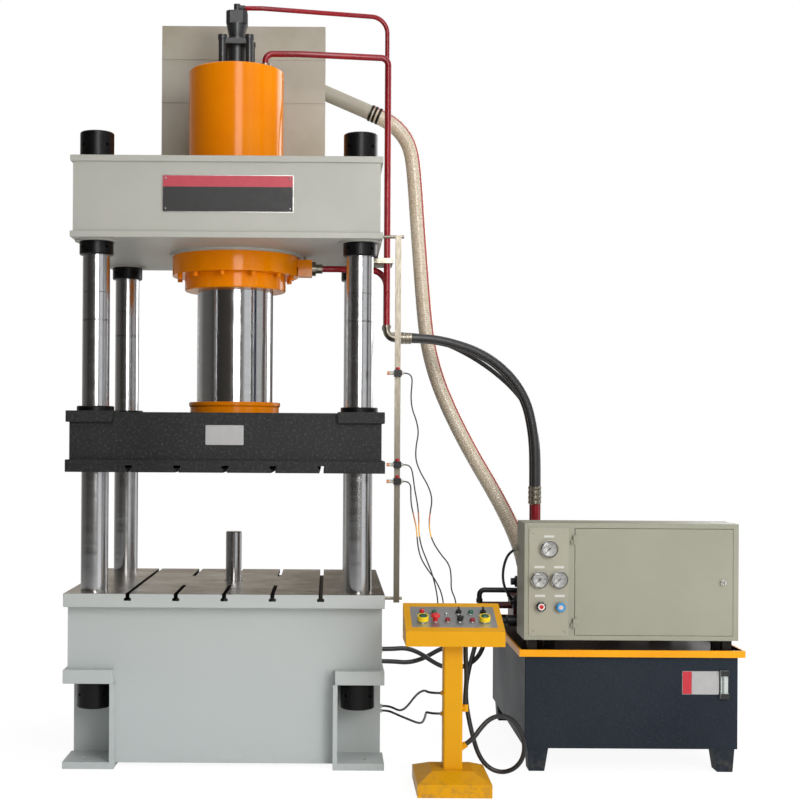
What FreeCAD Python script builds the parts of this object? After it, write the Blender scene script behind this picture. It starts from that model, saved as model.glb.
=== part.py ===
"""Four-column hydraulic press with its power unit, control pedestal, pipes, hoses and cables.

Millimetres, +Z up. The origin is on the floor, on the axis of the main cylinder.
+X runs to the right, towards the power unit, and +Y runs to the rear.
"""
import FreeCAD
import Part
import math
import os
from FreeCAD import Vector

os.makedirs("parts", exist_ok=True)

# ---------------------------------------------------------------- shared clearances
running_gap = 0.08            # radial, guided shafts and pistons
button_gap = 0.05             # radial, push-buttons and selectors in their holes
fixed_gap = 0.1               # radial, parts bolted into bored plates
soft_gap = 0.3                # parts that pass each other when something moves

# ---------------------------------------------------------------- hoses and cables
large_hose_radius = 20.0
small_hose_radius = 11.0
return_hose_radius = 40.0
ejector_hose_radius = 11.0
console_cable_radius = 10.0
sensor_cable_radius = 3.0
base_cable_radius = 5.0
valve_cable_radius = 6.0

# ---------------------------------------------------------------- press frame
table_width = 1400.0
table_depth = 1200.0
table_top = 763.0
table_thickness = 60.0
broken_edge = 2.0             # chamfer on the heavy plates' edges
base_body_width = table_width - 20
base_body_depth = table_depth - 120
base_body_bottom = 16.0
base_wall = 20.0
pocket_depth = 225.0          # corner pocket, from the table's front edge to its back plate
pocket_width = 204.0          # corner pocket, from the table's side edge to its inner plate
pocket_plate = 20.0
shelf_setback = 12.0          # the shelves stop this far inside their inner plates
shelf_top = 430.0
shelf_thickness = 60.0
foot_thickness = 30.0
anchor_hole_radius = 13.0
anchor_from_centre_x = table_width / 2 - 85
anchor_from_centre_y = table_depth / 2 - 90
port_boss_radius = 20.0
port_boss_reach = table_width / 2 + 12
ejector_ports = ((0.0, 440.0), (60.0, 372.0))
cable_gland_radius = 9.0
cable_gland_reach = table_width / 2 + 2
base_cable_exits = ((-300.0, 225.0), (-270.0, 198.0))

column_radius = 60.0
column_x = table_width / 2 - 115
column_y = table_depth / 2 - 125
column_mark_heights = (1141.0, 2116.0)
column_mark_width = 3.0
column_mark_depth = 1.0
column_sleeve_wall = 28.0
column_bottom = shelf_top - shelf_thickness - 120

crown_width = 2 * column_x + 194
crown_depth = table_depth
crown_bottom = 2315.0
crown_top = crown_bottom + 358
column_end_top = crown_top + 111
crown_plate = 27.0
crown_plate_overhang = 11.0
crown_wall = 30.0
crown_rib_x = 300.0
nut_radius = column_radius + 15
crown_boss_radius = nut_radius + 20
crown_boss_height = 6.0

nut_chamfer = 4.0
nut_pin_hole_radius = 7.0
nut_pin_hole_depth = 12.0
top_nut_height = 120.0
lower_nut_height = 65.0
base_nut_height = top_nut_height

# ---------------------------------------------------------------- T-slots
slot_count = 5
slot_pitch = 210.0
slot_neck = 18.0
slot_head = 31.0
slot_head_height = 13.0
slot_total_depth = 31.0
table_slot_gap_half = 215.0   # the inner slots stop this far from the table's middle

# ---------------------------------------------------------------- main cylinder
barrel_radius = 226.0
barrel_top = crown_top + 514
barrel_cap = 60.0
bore_radius = barrel_radius - 26
flange_radius = 300.0
flange_bottom = crown_bottom - 57
gland_flange_bottom = flange_bottom - 46
gland_ring_radius = flange_radius - 60
gland_bottom = gland_flange_bottom - 71
gland_screw_count = 12
gland_screw_circle = (flange_radius + gland_ring_radius) / 2 + 2.5
gland_screw_head_radius = 12.0
gland_screw_head_height = 20.0
gland_screw_shank_radius = 8.0
gland_screw_phase = -9.0
weld_ring_radius = flange_radius + 13
weld_ring_height = 12.0
port_reach = flange_radius + 66
port_width = 92.0
port_bottom = gland_flange_bottom + 4
port_top = flange_bottom + 34

ram_radius = bore_radius - 20
piston_height = 60.0
piston_bottom = crown_bottom + 240
piston_land = 1.0             # the piston body is this much smaller than its rings
ring_count = 3
ring_height = 10.0
ring_depth = 9.0
ram_flange_radius = ram_radius + 37
ram_flange_height = 58.0
ram_flange_lip = 8.0

# ---------------------------------------------------------------- moving beam
slide_bottom = 1291.0
slide_plate_thickness = 54.0
slide_plate_width = 2 * column_x + 224
slide_plate_depth = table_depth
slide_body_width = crown_width
slide_body_depth = slide_plate_depth - 46
slide_body_top = slide_bottom + 263
slide_wall = 30.0
corner_plate_top = slide_body_top + 5
corner_plate_bottom = corner_plate_top - 50
corner_plate_reach = column_x + 110
bush_outer_radius = column_radius + 15
bush_flange_radius = bush_outer_radius + 7.5
bush_flange_height = 22.0
corner_plate_width = 2 * (bush_flange_radius + 20.5)

# ---------------------------------------------------------------- ejector
ejector_radius = 37.5
ejector_hole_radius = ejector_radius + 7.5
ejector_top = table_top + 235
ejector_stroke = 240.0
ejector_bore = ejector_radius + 22.5
ejector_tube_outer = ejector_bore + 30
ejector_end_plate = 25.0
ejector_stop_gap = 1.0
ejector_piston_height = 50.0
ejector_mount_radius = ejector_bore + 70
ejector_mount_height = 35.0

# ---------------------------------------------------------------- filling valve and tank
valve_square = 172.0
valve_plate = 30.0
valve_post_radius = 19.0
valve_post_offset = valve_square / 2 - 22
valve_post_height = 136.0
valve_cap_radius = 22.0
valve_cap_height = 22.0
valve_barrel_radius = 46.0
valve_upper_square = valve_square - 22
valve_upper_plate = 26.0
valve_cone_low_radius = 36.0
valve_cone_high_radius = 50.0
valve_cone_start = barrel_top + valve_plate + valve_post_height - 1
valve_cone_end = valve_cone_start + 66
valve_head_top = valve_cone_end + 60
valve_fitting_radius = 16.0
valve_fitting_height = 40.0
valve_fitting_reach = valve_cone_low_radius + 2

tank_left = -390.0
tank_right = 422.0
tank_front = barrel_radius + 38
tank_back = tank_front + 320
tank_top = crown_top + 819
tank_wall = 6.0
tank_bead_heights = (tank_top - 372, tank_top - 157)
tank_bead_height = 20.0
tank_bead_proud = 3.0
outlet_radius = 38.0
outlet_wall = 5.0
outlet_y = (tank_front + tank_back) / 2
outlet_start_z = tank_top - 290
outlet_end_x = tank_right + 238
outlet_end_z = outlet_start_z - 102

# ---------------------------------------------------------------- rigid pipes
large_pipe_radius = 15.0
small_pipe_radius = 11.0
pipe_bend = 78.0
down_pipe_x = crown_width / 2 + 42
front_pipe_y = -25.0
rear_pipe_y = 42.0
pilot_pipe_y = 110.0
pipe_foot_z = crown_bottom - 330
valve_pipe_z = valve_head_top + 22
barrel_pipe_z = barrel_top + 79
barrel_pipe_x = 140.0
barrel_pipe_y = -60.0
port_pipe_z = port_bottom + 38
elbow_bend = 46.0
hose_start_z = pipe_foot_z - 60
large_crimp_start = down_pipe_x + 58
large_crimp_end = down_pipe_x + 119
large_crimp_radius = 24.0
small_crimp_start = down_pipe_x + 46
small_crimp_end = down_pipe_x + 88
small_crimp_radius = 14.0
small_hose_start_z = pipe_foot_z - 35
crimp_depth = 1.5             # how far the ferrules' bands are pressed in

# ---------------------------------------------------------------- limit switches
bar_side = 25.0
bar_x = table_width / 2 + 51
bar_y = 40 - table_depth / 2
bar_bottom = table_top - 35
bar_top = crown_bottom + 19
bar_rod_radius = 7.0
bar_rod_high_z = crown_bottom + 13
bar_rod_low_z = table_top - 17
bar_rod_overhang = 12.0
switch_heights = (1730.0, 1331.0, 1258.0)
switch_tip_x = bar_x - 47
switch_end_x = bar_x + 25
switch_radius = 8.0
switch_y = bar_y - 26
clamp_width = 32.0
clamp_height = 28.0

# ---------------------------------------------------------------- power unit
oil_tank_left = 1312.0
oil_tank_right = 2240.0
oil_tank_front = -590.0
oil_tank_back = 600.0
oil_tank_bottom = 100.0
oil_tank_top = 501.0
oil_tank_wall = 5.0
foot_top_width = 92.0
foot_bottom_width = 72.0
foot_depth = 90.0
suction_hole_radius = 50.0

tray_overhang_x = 27.0
tray_front = oil_tank_front - 20
tray_back = oil_tank_back + 30
tray_sheet = 3.0
tray_rim = 10.0
tray_top = oil_tank_top + 30

cabinet_left = oil_tank_left - 6
cabinet_right = oil_tank_right - 2
cabinet_front = oil_tank_front - 10
cabinet_back = cabinet_front + 235
cabinet_bottom = tray_top + 42
cabinet_top = cabinet_bottom + 508
cabinet_sheet = 4.0
folded_edge = 3.0             # outer radius of the folded sheet's edges
standoff_side = 40.0

door_left = cabinet_left + 220
door_right = cabinet_right - 25
door_bottom = cabinet_bottom + 22
door_top = cabinet_top - 23
door_sheet = 2.0
door_return = 15.0
door_gap = 2.0
hinge_x = door_left - 6
hinge_y = cabinet_front - 8
hinge_heights = (door_bottom + 52, door_top - 50)
hinge_knuckle_radius = 5.0
hinge_knuckle_height = 20.0
hinge_pin_radius = 2.5

lock_x = door_right - 42
lock_z = door_bottom + 232
lock_collar_radius = 13.0
lock_collar_height = 8.0
lock_shaft_radius = 9.0
lock_bow_width = 22.0
lock_bow_height = 26.0
lock_bow_thickness = 3.0
lock_cam_length = 30.0

gauge_panel_left = cabinet_left + 19
gauge_panel_right = door_left - 29
gauge_panel_bottom = cabinet_bottom + 19
gauge_panel_top = cabinet_top - 22
gauge_panel_sheet = 3.0
gauge_radius = 38.0
gauge_depth = 20.0
gauge_rim = 5.0
gauge_face_depth = 7.0
gauge_stem_radius = 3.0
gauge_places = {"main": (gauge_panel_left + 87, gauge_panel_top - 90),
                "left": (gauge_panel_left + 46, gauge_panel_top - 223),
                "right": (gauge_panel_left + 131, gauge_panel_top - 223)}
knob_places = {"red": (gauge_panel_left + 52, gauge_panel_bottom + 127),
               "blue": (gauge_panel_left + 137, gauge_panel_bottom + 125)}
knob_radius = 21.0
knob_height = 24.0
knob_stem_radius = 6.0
knob_flutes = 8

level_gauge_left = oil_tank_right - 79
level_gauge_right = level_gauge_left + 38
level_gauge_bottom = oil_tank_bottom + 222
level_gauge_top = level_gauge_bottom + 121
level_gauge_depth = 22.0

motor_y = 150.0
motor_z = oil_tank_top + 214
motor_left = oil_tank_left + 448
motor_right = motor_left + 390
motor_radius = 120.0
motor_fin_count = 32
motor_fin_height = 16.0
motor_fin_thickness = 5.0
motor_cover_length = 70.0
motor_shaft_radius = 21.0
bell_left = motor_left - 100
bell_radius = motor_radius - 20
bell_wall = 10.0
pump_left = bell_left - 130
pump_radius = 62.0
pump_seat_radius = 14.0
fan_radius = motor_radius - 25
fan_blades = 7

header_left = oil_tank_left + 18
header_right = header_left + 170
header_front = -60.0
header_back = 140.0
header_bottom = oil_tank_top + 59
header_top = header_bottom + 140
stack_left = header_left + 95
stack_right = stack_left + 70
stack_front = header_front - 270
stack_top = header_bottom + 370
valve_pitch = 90.0
valve_body_half = 34.0
valve_body_length = 54.0
valve_y = -255.0
coil_lengths = (116.0, 82.0, 79.0, 52.0)
coil_radius = 26.0
elbow_z = header_top - 50
elbow_socket_bottom = elbow_z - 58
upper_elbow = (header_left - 125, 0.0)
lower_elbow = (header_left - 158, 60.0)
cable_elbow = (header_left - 174, -180.0)
cable_elbow_z = header_top + 44
cable_socket_bottom = header_top - 14
valve_gland_root = (cabinet_left + 2, cabinet_back - 16.5, cabinet_top - 122.5)

riser_x = header_left + 106
small_riser_x = riser_x + 35
riser_crimp_bottom = header_top + 437
riser_crimp_top = riser_crimp_bottom + 83
return_stub_x = oil_tank_left + 128
return_stub_y = 224.0
return_stub_top = oil_tank_top + 99
return_stub_radius = return_hose_radius + 4

# ---------------------------------------------------------------- control pedestal
pedestal_x = 970.0
post_y = -880.0
pedestal_foot_left = pedestal_x - 154
pedestal_foot_right = pedestal_x + 148
pedestal_foot_front = post_y - 180
pedestal_foot_back = post_y + 180
pedestal_foot_skirt = 53.0
pedestal_foot_top = pedestal_foot_skirt + 33
pedestal_foot_plateau = 168.0
pedestal_sheet = 3.0
post_side = 80.0
post_wall = 4.0
post_corner = 9.0
console_left = pedestal_x - 200
console_right = pedestal_x + 205
console_front = post_y - 116
console_back = post_y + 136
console_bottom = 599.0
console_front_top = console_bottom + 62
console_back_top = console_bottom + 148
console_sheet = 3.0
panel_margin_side = 27.0
panel_margin_front = 37.0
panel_margin_back = 36.0
panel_sheet = 3.0

control_pitch = 51.0
front_row = 97.0              # up the slope, from the console's front edge
rear_row = 170.0
hole_radius = 11.0
bezel_radius = hole_radius + 4
bezel_height = 3.0
button_head_radius = 10.5
palm_radius = 17.0
palm_guard_radius = palm_radius + 6
palm_guard_height = 24.0
stop_radius = 19.0
control_depth = 26.0


# ================================================================ small helpers
def box(x0, x1, y0, y1, z0, z1):
    """A box between two corners."""
    return Part.makeBox(x1 - x0, y1 - y0, z1 - z0, Vector(x0, y0, z0))


def disc(radius, x, y, z0, z1):
    """An upright cylinder."""
    return Part.makeCylinder(radius, z1 - z0, Vector(x, y, z0))


def ring(outer, inner, x, y, z0, z1):
    """An upright ring."""
    return disc(outer, x, y, z0, z1).cut(disc(inner, x, y, z0, z1))


def rod(radius, start, end):
    """A cylinder between two points."""
    start = Vector(*start)
    end = Vector(*end)
    return Part.makeCylinder(radius, (end - start).Length, start, end - start)


def turned(profile, x=0.0, y=0.0):
    """A solid of revolution about an upright axis, from (radius, height) points."""
    points = [Vector(r, 0, z) for r, z in profile]
    face = Part.Face(Part.makePolygon(points + points[:1]))
    solid = face.revolve(Vector(0, 0, 0), Vector(0, 0, 1), 360)
    solid.translate(Vector(x, y, 0))
    return solid


def turned_front(profile, x, y, z):
    """A solid of revolution about an axis along Y, from (radius, distance to the rear) points."""
    solid = turned([(r, -d) for r, d in profile])
    solid.rotate(Vector(0, 0, 0), Vector(1, 0, 0), 90)
    solid.translate(Vector(x, y, z))
    return solid


def turned_side(profile, x, y, z):
    """A solid of revolution about an axis along X, from (radius, distance to the right) points."""
    solid = turned(profile)
    solid.rotate(Vector(0, 0, 0), Vector(0, 1, 0), 90)
    solid.translate(Vector(x, y, z))
    return solid


def prism(points_yz, x0, x1):
    """A profile in the YZ plane, drawn out along X."""
    points = [Vector(x0, y, z) for y, z in points_yz]
    return Part.Face(Part.makePolygon(points + points[:1])).extrude(Vector(x1 - x0, 0, 0))


def ferrule(radius, length):
    """The outline of a crimped ferrule with three pressed bands, for turned() and turned_side()."""
    band = length / 7
    pressed = radius - crimp_depth
    points = [(0, 0), (radius - 1.5, 0), (radius, 1.5)]
    for i in range(3):
        start = band * (2 * i + 1)
        points += [(radius, start), (pressed, start + band / 4),
                   (pressed, start + band * 3 / 4), (radius, start + band)]
    return points + [(radius, length - 1.5), (radius - 1.5, length), (0, length)]


def joined(shapes):
    """One solid out of shapes that touch or overlap."""
    return shapes[0].fuse(shapes[1:]).removeSplitter()


def four_corners(make):
    """The same shape mirrored into the four corners of the press."""
    first = make()
    left = first.mirror(Vector(0, 0, 0), Vector(1, 0, 0))
    rear = first.mirror(Vector(0, 0, 0), Vector(0, 1, 0))
    rear_left = left.mirror(Vector(0, 0, 0), Vector(0, 1, 0))
    return [first, left, rear, rear_left]


def bent_path(points, bend=None):
    """Straight runs joined by tangent arcs, and the arcs' radii.

    With no bend given, each arc is as large as its two runs allow.
    """
    points = [Vector(*p) for p in points]
    edges = []
    radii = []
    here = points[0]
    for before, corner, after in zip(points, points[1:], points[2:]):
        back = before - corner
        ahead = after - corner
        half_turn = (math.pi - back.getAngle(ahead)) / 2
        if bend is None:
            setback = 0.45 * min(back.Length, ahead.Length)
        else:
            setback = bend * math.tan(half_turn)
        radius = setback / math.tan(half_turn)
        radii.append(radius)
        back.normalize()
        ahead.normalize()
        arc_start = corner + back * setback
        arc_end = corner + ahead * setback
        to_centre = (back + ahead).normalize()
        middle = corner + to_centre * (radius / math.cos(half_turn) - radius)
        edges.append(Part.LineSegment(here, arc_start).toShape())
        edges.append(Part.Arc(arc_start, middle, arc_end).toShape())
        here = arc_end
    edges.append(Part.LineSegment(here, points[-1]).toShape())
    return Part.Wire(edges), radii


def tube_along(name, points, radius, bend=None):
    """A round solid along a bent path. Prints its length, least radius and volume ratio."""
    path, radii = bent_path(points, bend)
    start = Vector(*points[0])
    heading = Vector(*points[1]) - start
    section = Part.Wire(Part.makeCircle(radius, start, heading))
    solid = path.makePipeShell([section], True, False)
    ratio = solid.Volume / (math.pi * radius ** 2 * path.Length)
    least = min(radii)
    print(f"{name}: length {path.Length:.0f}, least radius {least:.0f} "
          f"({least / radius / 2:.1f} diameters), volume ratio {ratio:.4f}")
    return solid


# ================================================================ T-slots
def slot_places():
    """X of each T-slot."""
    return [slot_pitch * (i - (slot_count - 1) / 2) for i in range(slot_count)]


def slot_cut(x, y0, y1, surface, into):
    """One T-slot. It opens at height surface and runs into the plate, up (1) or down (-1)."""
    depth = into * slot_total_depth
    head_start = depth - into * slot_head_height
    neck = box(x - slot_neck / 2, x + slot_neck / 2, y0, y1,
               min(surface, surface + depth), max(surface, surface + depth))
    head = box(x - slot_head / 2, x + slot_head / 2, y0, y1,
               surface + min(head_start, depth), surface + max(head_start, depth))
    return neck.fuse(head)


# ================================================================ press frame
def broken(shape, edges, size=broken_edge):
    """The shape with a chamfer on its straight edges that pass the test."""
    picked = [e for e in shape.Edges if isinstance(e.Curve, Part.Line) and edges(e)]
    return shape.makeChamfer(size, picked)


def rounded(shape, edges, radius):
    """The shape with a fillet on its straight edges that pass the test."""
    picked = [e for e in shape.Edges if isinstance(e.Curve, Part.Line) and edges(e)]
    return shape.makeFillet(radius, picked)


def on_level(*levels):
    """A test for edges that lie level at one of these heights."""
    return lambda e: any(all(abs(v.Z - level) < 1e-6 for v in e.Vertexes) for level in levels)


def upright(e):
    """A test for upright edges."""
    return abs(e.tangentAt(e.FirstParameter).z) > 0.999


def make_table_plate():
    """The table: a thick milled plate with T-slots, column holes and the ejector's hole."""
    half_w = table_width / 2
    half_d = table_depth / 2
    bottom = table_top - table_thickness
    plate = box(-half_w, half_w, -half_d, half_d, bottom, table_top)
    plate = plate.makeChamfer(broken_edge, plate.Edges)
    column_hole = disc(column_radius + fixed_gap, column_x, column_y, bottom, table_top)
    cuts = four_corners(lambda: column_hole)
    cuts.append(disc(ejector_hole_radius, 0, 0, bottom, table_top))
    for i, x in enumerate(slot_places()):
        if i in (0, slot_count - 1):
            cuts.append(slot_cut(x, -half_d, half_d, table_top, -1))
        else:
            cuts.append(slot_cut(x, -half_d, -table_slot_gap_half, table_top, -1))
            cuts.append(slot_cut(x, table_slot_gap_half, half_d, table_top, -1))
    return plate.cut(cuts)


def make_base():
    """The welded base in its four sections: the box that the table lies on, the stand under its
    middle, and the two ends between the corner pockets."""
    body_w = base_body_width / 2
    body_d = base_body_depth / 2
    inner_d = body_d - base_wall
    top = table_top - table_thickness
    plate_face = table_width / 2 - pocket_width - pocket_plate
    shelf_end = table_width / 2 - pocket_width - shelf_setback
    back_y = table_depth / 2 - pocket_depth
    side_d = back_y - base_wall
    shelf_bottom = shelf_top - shelf_thickness
    low = base_body_bottom

    def wall_pair(x0, x1, y0, y1, z0, z1):
        """A wall and its mirror image across the press."""
        return [box(x0, x1, y0, y1, z0, z1),
                box(min(-x0, -x1), max(-x0, -x1), min(-y0, -y1), max(-y0, -y1), z0, z1)]

    def ribs(z0, z1):
        pairs = [wall_pair(x - base_wall / 2, x + base_wall / 2, -body_d, body_d, z0, z1)
                 for x in (ejector_mount_radius + 2 * base_wall, plate_face - base_wall / 2)]
        return [rib for pair in pairs for rib in pair]

    def sleeve():
        ring_part = ring(column_radius + column_sleeve_wall, column_radius + fixed_gap,
                         column_x, column_y, shelf_top, top)
        return ring_part.common(box(0, body_w, 0, body_d, 0, top))

    bosses = [rod(port_boss_radius, (body_w, y, z), (port_boss_reach, y, z))
              for y, z in ejector_ports]
    bosses += [rod(cable_gland_radius, (body_w, y, z), (cable_gland_reach, y, z))
               for y, z in base_cable_exits]
    bed = wall_pair(-body_w, body_w, inner_d, body_d, shelf_top, top)
    bed += wall_pair(body_w - base_wall, body_w, -body_d, body_d, shelf_top, top)
    bed += ribs(shelf_top, top) + four_corners(sleeve)
    bed += [boss for boss in bosses if boss.CenterOfMass.z > shelf_top]
    column_hole = disc(column_radius + fixed_gap, column_x, column_y, shelf_top, top)
    bed = joined(bed).cut(four_corners(lambda: column_hole))

    stand = wall_pair(-shelf_end, shelf_end, inner_d, body_d, shelf_bottom, shelf_top)
    stand += wall_pair(-plate_face, plate_face, inner_d, body_d, low, shelf_bottom)
    stand = joined(stand + ribs(low, shelf_top))

    ends = []
    for side in (-1, 1):
        x0, x1 = sorted((side * plate_face, side * body_w))
        wall_0, wall_1 = sorted((side * (body_w - base_wall), side * body_w))
        walls = [box(wall_0, wall_1, -side_d, side_d, low, shelf_top),
                 box(x0, x1, side_d, back_y, low, shelf_top),
                 box(x0, x1, -back_y, -side_d, low, shelf_top)]
        if side > 0:
            walls += [boss for boss in bosses if boss.CenterOfMass.z < shelf_top]
        ends.append(joined(walls))
    return Part.makeCompound([bed, stand] + ends)


def make_corner_mounts():
    """The four corners' shelves for the columns, with their inner plates and foot plates."""
    half_w = table_width / 2
    half_d = table_depth / 2
    inner_x = half_w - pocket_width
    back_y = half_d - pocket_depth
    shelf_bottom = shelf_top - shelf_thickness

    def corner():
        shelf = box(inner_x - shelf_setback, half_w, back_y, half_d, shelf_bottom, shelf_top)
        outer_edges = broken(shelf, lambda e: e.CenterOfMass.x > half_w - 1
                             or e.CenterOfMass.y > half_d - 1)
        inner_plate = box(inner_x - pocket_plate, inner_x, back_y, half_d, 0, shelf_bottom)
        foot = box(inner_x - pocket_plate, half_w, back_y, half_d, 0, foot_thickness)
        mount = joined([outer_edges, inner_plate, foot])
        return mount.cut([
            disc(column_radius + fixed_gap, column_x, column_y, shelf_bottom, shelf_top),
            disc(anchor_hole_radius, anchor_from_centre_x, anchor_from_centre_y,
                 0, foot_thickness)])

    return Part.makeCompound(four_corners(corner))


def heavy_plate(half_w, half_d, z0, z1):
    """A thick plate with broken edges, centred on the press."""
    plate = box(-half_w, half_w, -half_d, half_d, z0, z1)
    return plate.makeChamfer(broken_edge, plate.Edges)


def make_crown():
    """The welded upper beam, closed, with column sleeves, a cylinder seat and two ribs."""
    half_w = crown_width / 2
    half_d = crown_depth / 2
    body_w = half_w - crown_plate_overhang
    body_d = half_d - crown_plate_overhang
    low = crown_bottom + crown_plate
    high = crown_top - crown_plate
    seat = barrel_radius + crown_wall
    beam = joined([
        heavy_plate(half_w, half_d, crown_bottom, low),
        box(-body_w, body_w, -body_d, body_d, low, high),
        heavy_plate(half_w, half_d, high, crown_top),
        ring(weld_ring_radius, flange_radius + fixed_gap, 0, 0,
             crown_bottom - weld_ring_height, crown_bottom),
    ] + four_corners(lambda: ring(crown_boss_radius, nut_radius + fixed_gap, column_x, column_y,
                                  crown_bottom - crown_boss_height, crown_bottom)))
    hollow = box(-body_w + crown_wall, body_w - crown_wall,
                 -body_d + crown_wall, body_d - crown_wall, low, high)
    kept = [disc(seat, 0, 0, low, high)]
    kept += four_corners(lambda: disc(column_radius + column_sleeve_wall, column_x, column_y,
                                      low, high))
    for side in (-1, 1):
        x = side * crown_rib_x
        kept.append(box(x - crown_wall / 2, x + crown_wall / 2, -body_d, body_d, low, high))
    hollow = hollow.cut(kept)
    holes = four_corners(lambda: disc(column_radius + fixed_gap, column_x, column_y,
                                      crown_bottom, crown_top))
    holes.append(disc(barrel_radius + fixed_gap, 0, 0, crown_bottom, crown_top))
    return beam.cut([hollow] + holes)


def make_columns():
    """Four ground columns, each with two fine marks turned in it."""
    profile = [(0, column_bottom), (column_radius, column_bottom)]
    for mark in column_mark_heights:
        low = mark - column_mark_width / 2
        high = mark + column_mark_width / 2
        inner = column_radius - column_mark_depth
        profile += [(column_radius, low), (inner, low), (inner, high), (column_radius, high)]
    profile += [(column_radius, column_end_top), (0, column_end_top)]
    return Part.makeCompound(four_corners(lambda: turned(profile, column_x, column_y)))


def make_round_nut(z0, height):
    """A round nut with four blind pin holes for its spanner, and an open end each way."""
    top = z0 + height
    nut = turned([(column_radius, z0), (nut_radius - nut_chamfer, z0),
                  (nut_radius, z0 + nut_chamfer), (nut_radius, top - nut_chamfer),
                  (nut_radius - nut_chamfer, top), (column_radius, top)])
    middle = z0 + height / 2
    for quarter in range(4):
        angle = math.radians(45 + 90 * quarter)
        outward = Vector(math.cos(angle), math.sin(angle), 0)
        start = outward * (nut_radius - nut_pin_hole_depth) + Vector(0, 0, middle)
        nut = nut.cut(Part.makeCylinder(nut_pin_hole_radius, nut_radius, start, outward))
    nut.translate(Vector(column_x, column_y, 0))
    return nut


def make_column_nuts():
    """Twelve nuts: on the crown, under the crown and under the base shelves."""
    shelf_bottom = shelf_top - shelf_thickness
    nuts = four_corners(lambda: make_round_nut(crown_top, top_nut_height))
    nuts += four_corners(lambda: make_round_nut(crown_bottom - lower_nut_height, lower_nut_height))
    nuts += four_corners(lambda: make_round_nut(shelf_bottom - base_nut_height, base_nut_height))
    return Part.makeCompound(nuts)


# ================================================================ main cylinder
def gland_screw_angles():
    step = 360 / gland_screw_count
    return [math.radians(gland_screw_phase + step * i) for i in range(gland_screw_count)]


def make_barrel():
    """The cylinder barrel with its closed top, mounting flange and side port block."""
    valve_hole = valve_barrel_radius
    body = turned([(bore_radius, flange_bottom), (flange_radius, flange_bottom),
                   (flange_radius, crown_bottom), (barrel_radius, crown_bottom),
                   (barrel_radius, barrel_top - 4), (barrel_radius - 4, barrel_top),
                   (valve_hole, barrel_top), (valve_hole, barrel_top - barrel_cap),
                   (bore_radius, barrel_top - barrel_cap)])
    half = port_width / 2
    block = box(flange_radius - 20, port_reach, -half, half, flange_bottom, port_top)
    apron = box(flange_radius + soft_gap, port_reach, -half, half, port_bottom, flange_bottom)
    body = joined([body, block, apron])
    body = body.cut([
        rod(large_pipe_radius - 4, (bore_radius - 1, 0, port_top - 20),
            (port_reach - 20, 0, port_top - 20)),
        rod(large_pipe_radius - 4, (port_reach - 20, 0, port_pipe_z - 11),
            (port_reach - 20, 0, port_top - 9)),
        rod(large_pipe_radius - 4, (port_reach - 20, 0, port_pipe_z), (port_reach, 0, port_pipe_z)),
        disc(large_pipe_radius - 4, barrel_pipe_x, barrel_pipe_y, barrel_top - barrel_cap,
             barrel_top),
    ])
    for angle in gland_screw_angles():
        x = gland_screw_circle * math.cos(angle)
        y = gland_screw_circle * math.sin(angle)
        body = body.cut(disc(gland_screw_shank_radius, x, y, flange_bottom,
                             flange_bottom + 2 * gland_screw_shank_radius))
    return body


def make_gland():
    """The gland: a flange under the barrel and a guide ring round the ram."""
    bore = ram_radius + 1
    seal = bore + ring_depth
    gland = turned([(bore, gland_bottom), (gland_ring_radius - 4, gland_bottom),
                    (gland_ring_radius, gland_bottom + 4),
                    (gland_ring_radius, gland_flange_bottom),
                    (flange_radius - 0.5, gland_flange_bottom),
                    (flange_radius - 0.5, flange_bottom),
                    (bore, flange_bottom)])
    for i in range(ring_count):
        z = gland_seal_height(i)
        gland = gland.cut(ring(seal, ram_radius, 0, 0, z, z + ring_height))
    for angle in gland_screw_angles():
        x = gland_screw_circle * math.cos(angle)
        y = gland_screw_circle * math.sin(angle)
        gland = gland.cut(disc(gland_screw_shank_radius, x, y, gland_flange_bottom, flange_bottom))
    return gland


def gland_seal_height(i):
    """Bottom of each ram seal."""
    room = flange_bottom - gland_bottom
    return gland_bottom + room * (i + 1) / (ring_count + 1) - ring_height / 2


def make_gland_seals():
    inner = ram_radius + running_gap
    outer = ram_radius + 1 + ring_depth
    rings = []
    for i in range(ring_count):
        z = gland_seal_height(i)
        rings.append(ring(outer, inner, 0, 0, z, z + ring_height))
    return Part.makeCompound(rings)


def make_gland_screws():
    """Twelve socket-head screws, heads down."""
    screws = []
    for angle in gland_screw_angles():
        x = gland_screw_circle * math.cos(angle)
        y = gland_screw_circle * math.sin(angle)
        head_bottom = gland_flange_bottom - gland_screw_head_height
        head = disc(gland_screw_head_radius, x, y, head_bottom, gland_flange_bottom)
        socket = disc(gland_screw_head_radius / 2, x, y, head_bottom,
                      head_bottom + gland_screw_head_height / 2)
        shank = disc(gland_screw_shank_radius, x, y, gland_flange_bottom,
                     flange_bottom + 2 * gland_screw_shank_radius)
        screws.append(head.fuse(shank).cut(socket))
    return Part.makeCompound(screws)


def piston_ring_height(i):
    """Bottom of each piston ring."""
    return piston_bottom + piston_height * (i + 1) / (ring_count + 1) - ring_height / 2


def make_ram():
    """The ram: a chromed rod with its piston head, forged as one."""
    body = bore_radius - piston_land
    groove = body - ring_depth
    profile = [(0, slide_body_top), (ram_radius, slide_body_top), (ram_radius, piston_bottom),
               (body, piston_bottom)]
    for i in range(ring_count):
        z = piston_ring_height(i)
        profile += [(body, z), (groove, z), (groove, z + ring_height), (body, z + ring_height)]
    top = piston_bottom + piston_height
    profile += [(body, top), (0, top)]
    return turned(profile)


def make_piston_seals():
    outer = bore_radius - running_gap
    inner = bore_radius - piston_land - ring_depth
    rings = []
    for i in range(ring_count):
        z = piston_ring_height(i)
        rings.append(ring(outer, inner, 0, 0, z, z + ring_height))
    return Part.makeCompound(rings)


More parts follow.
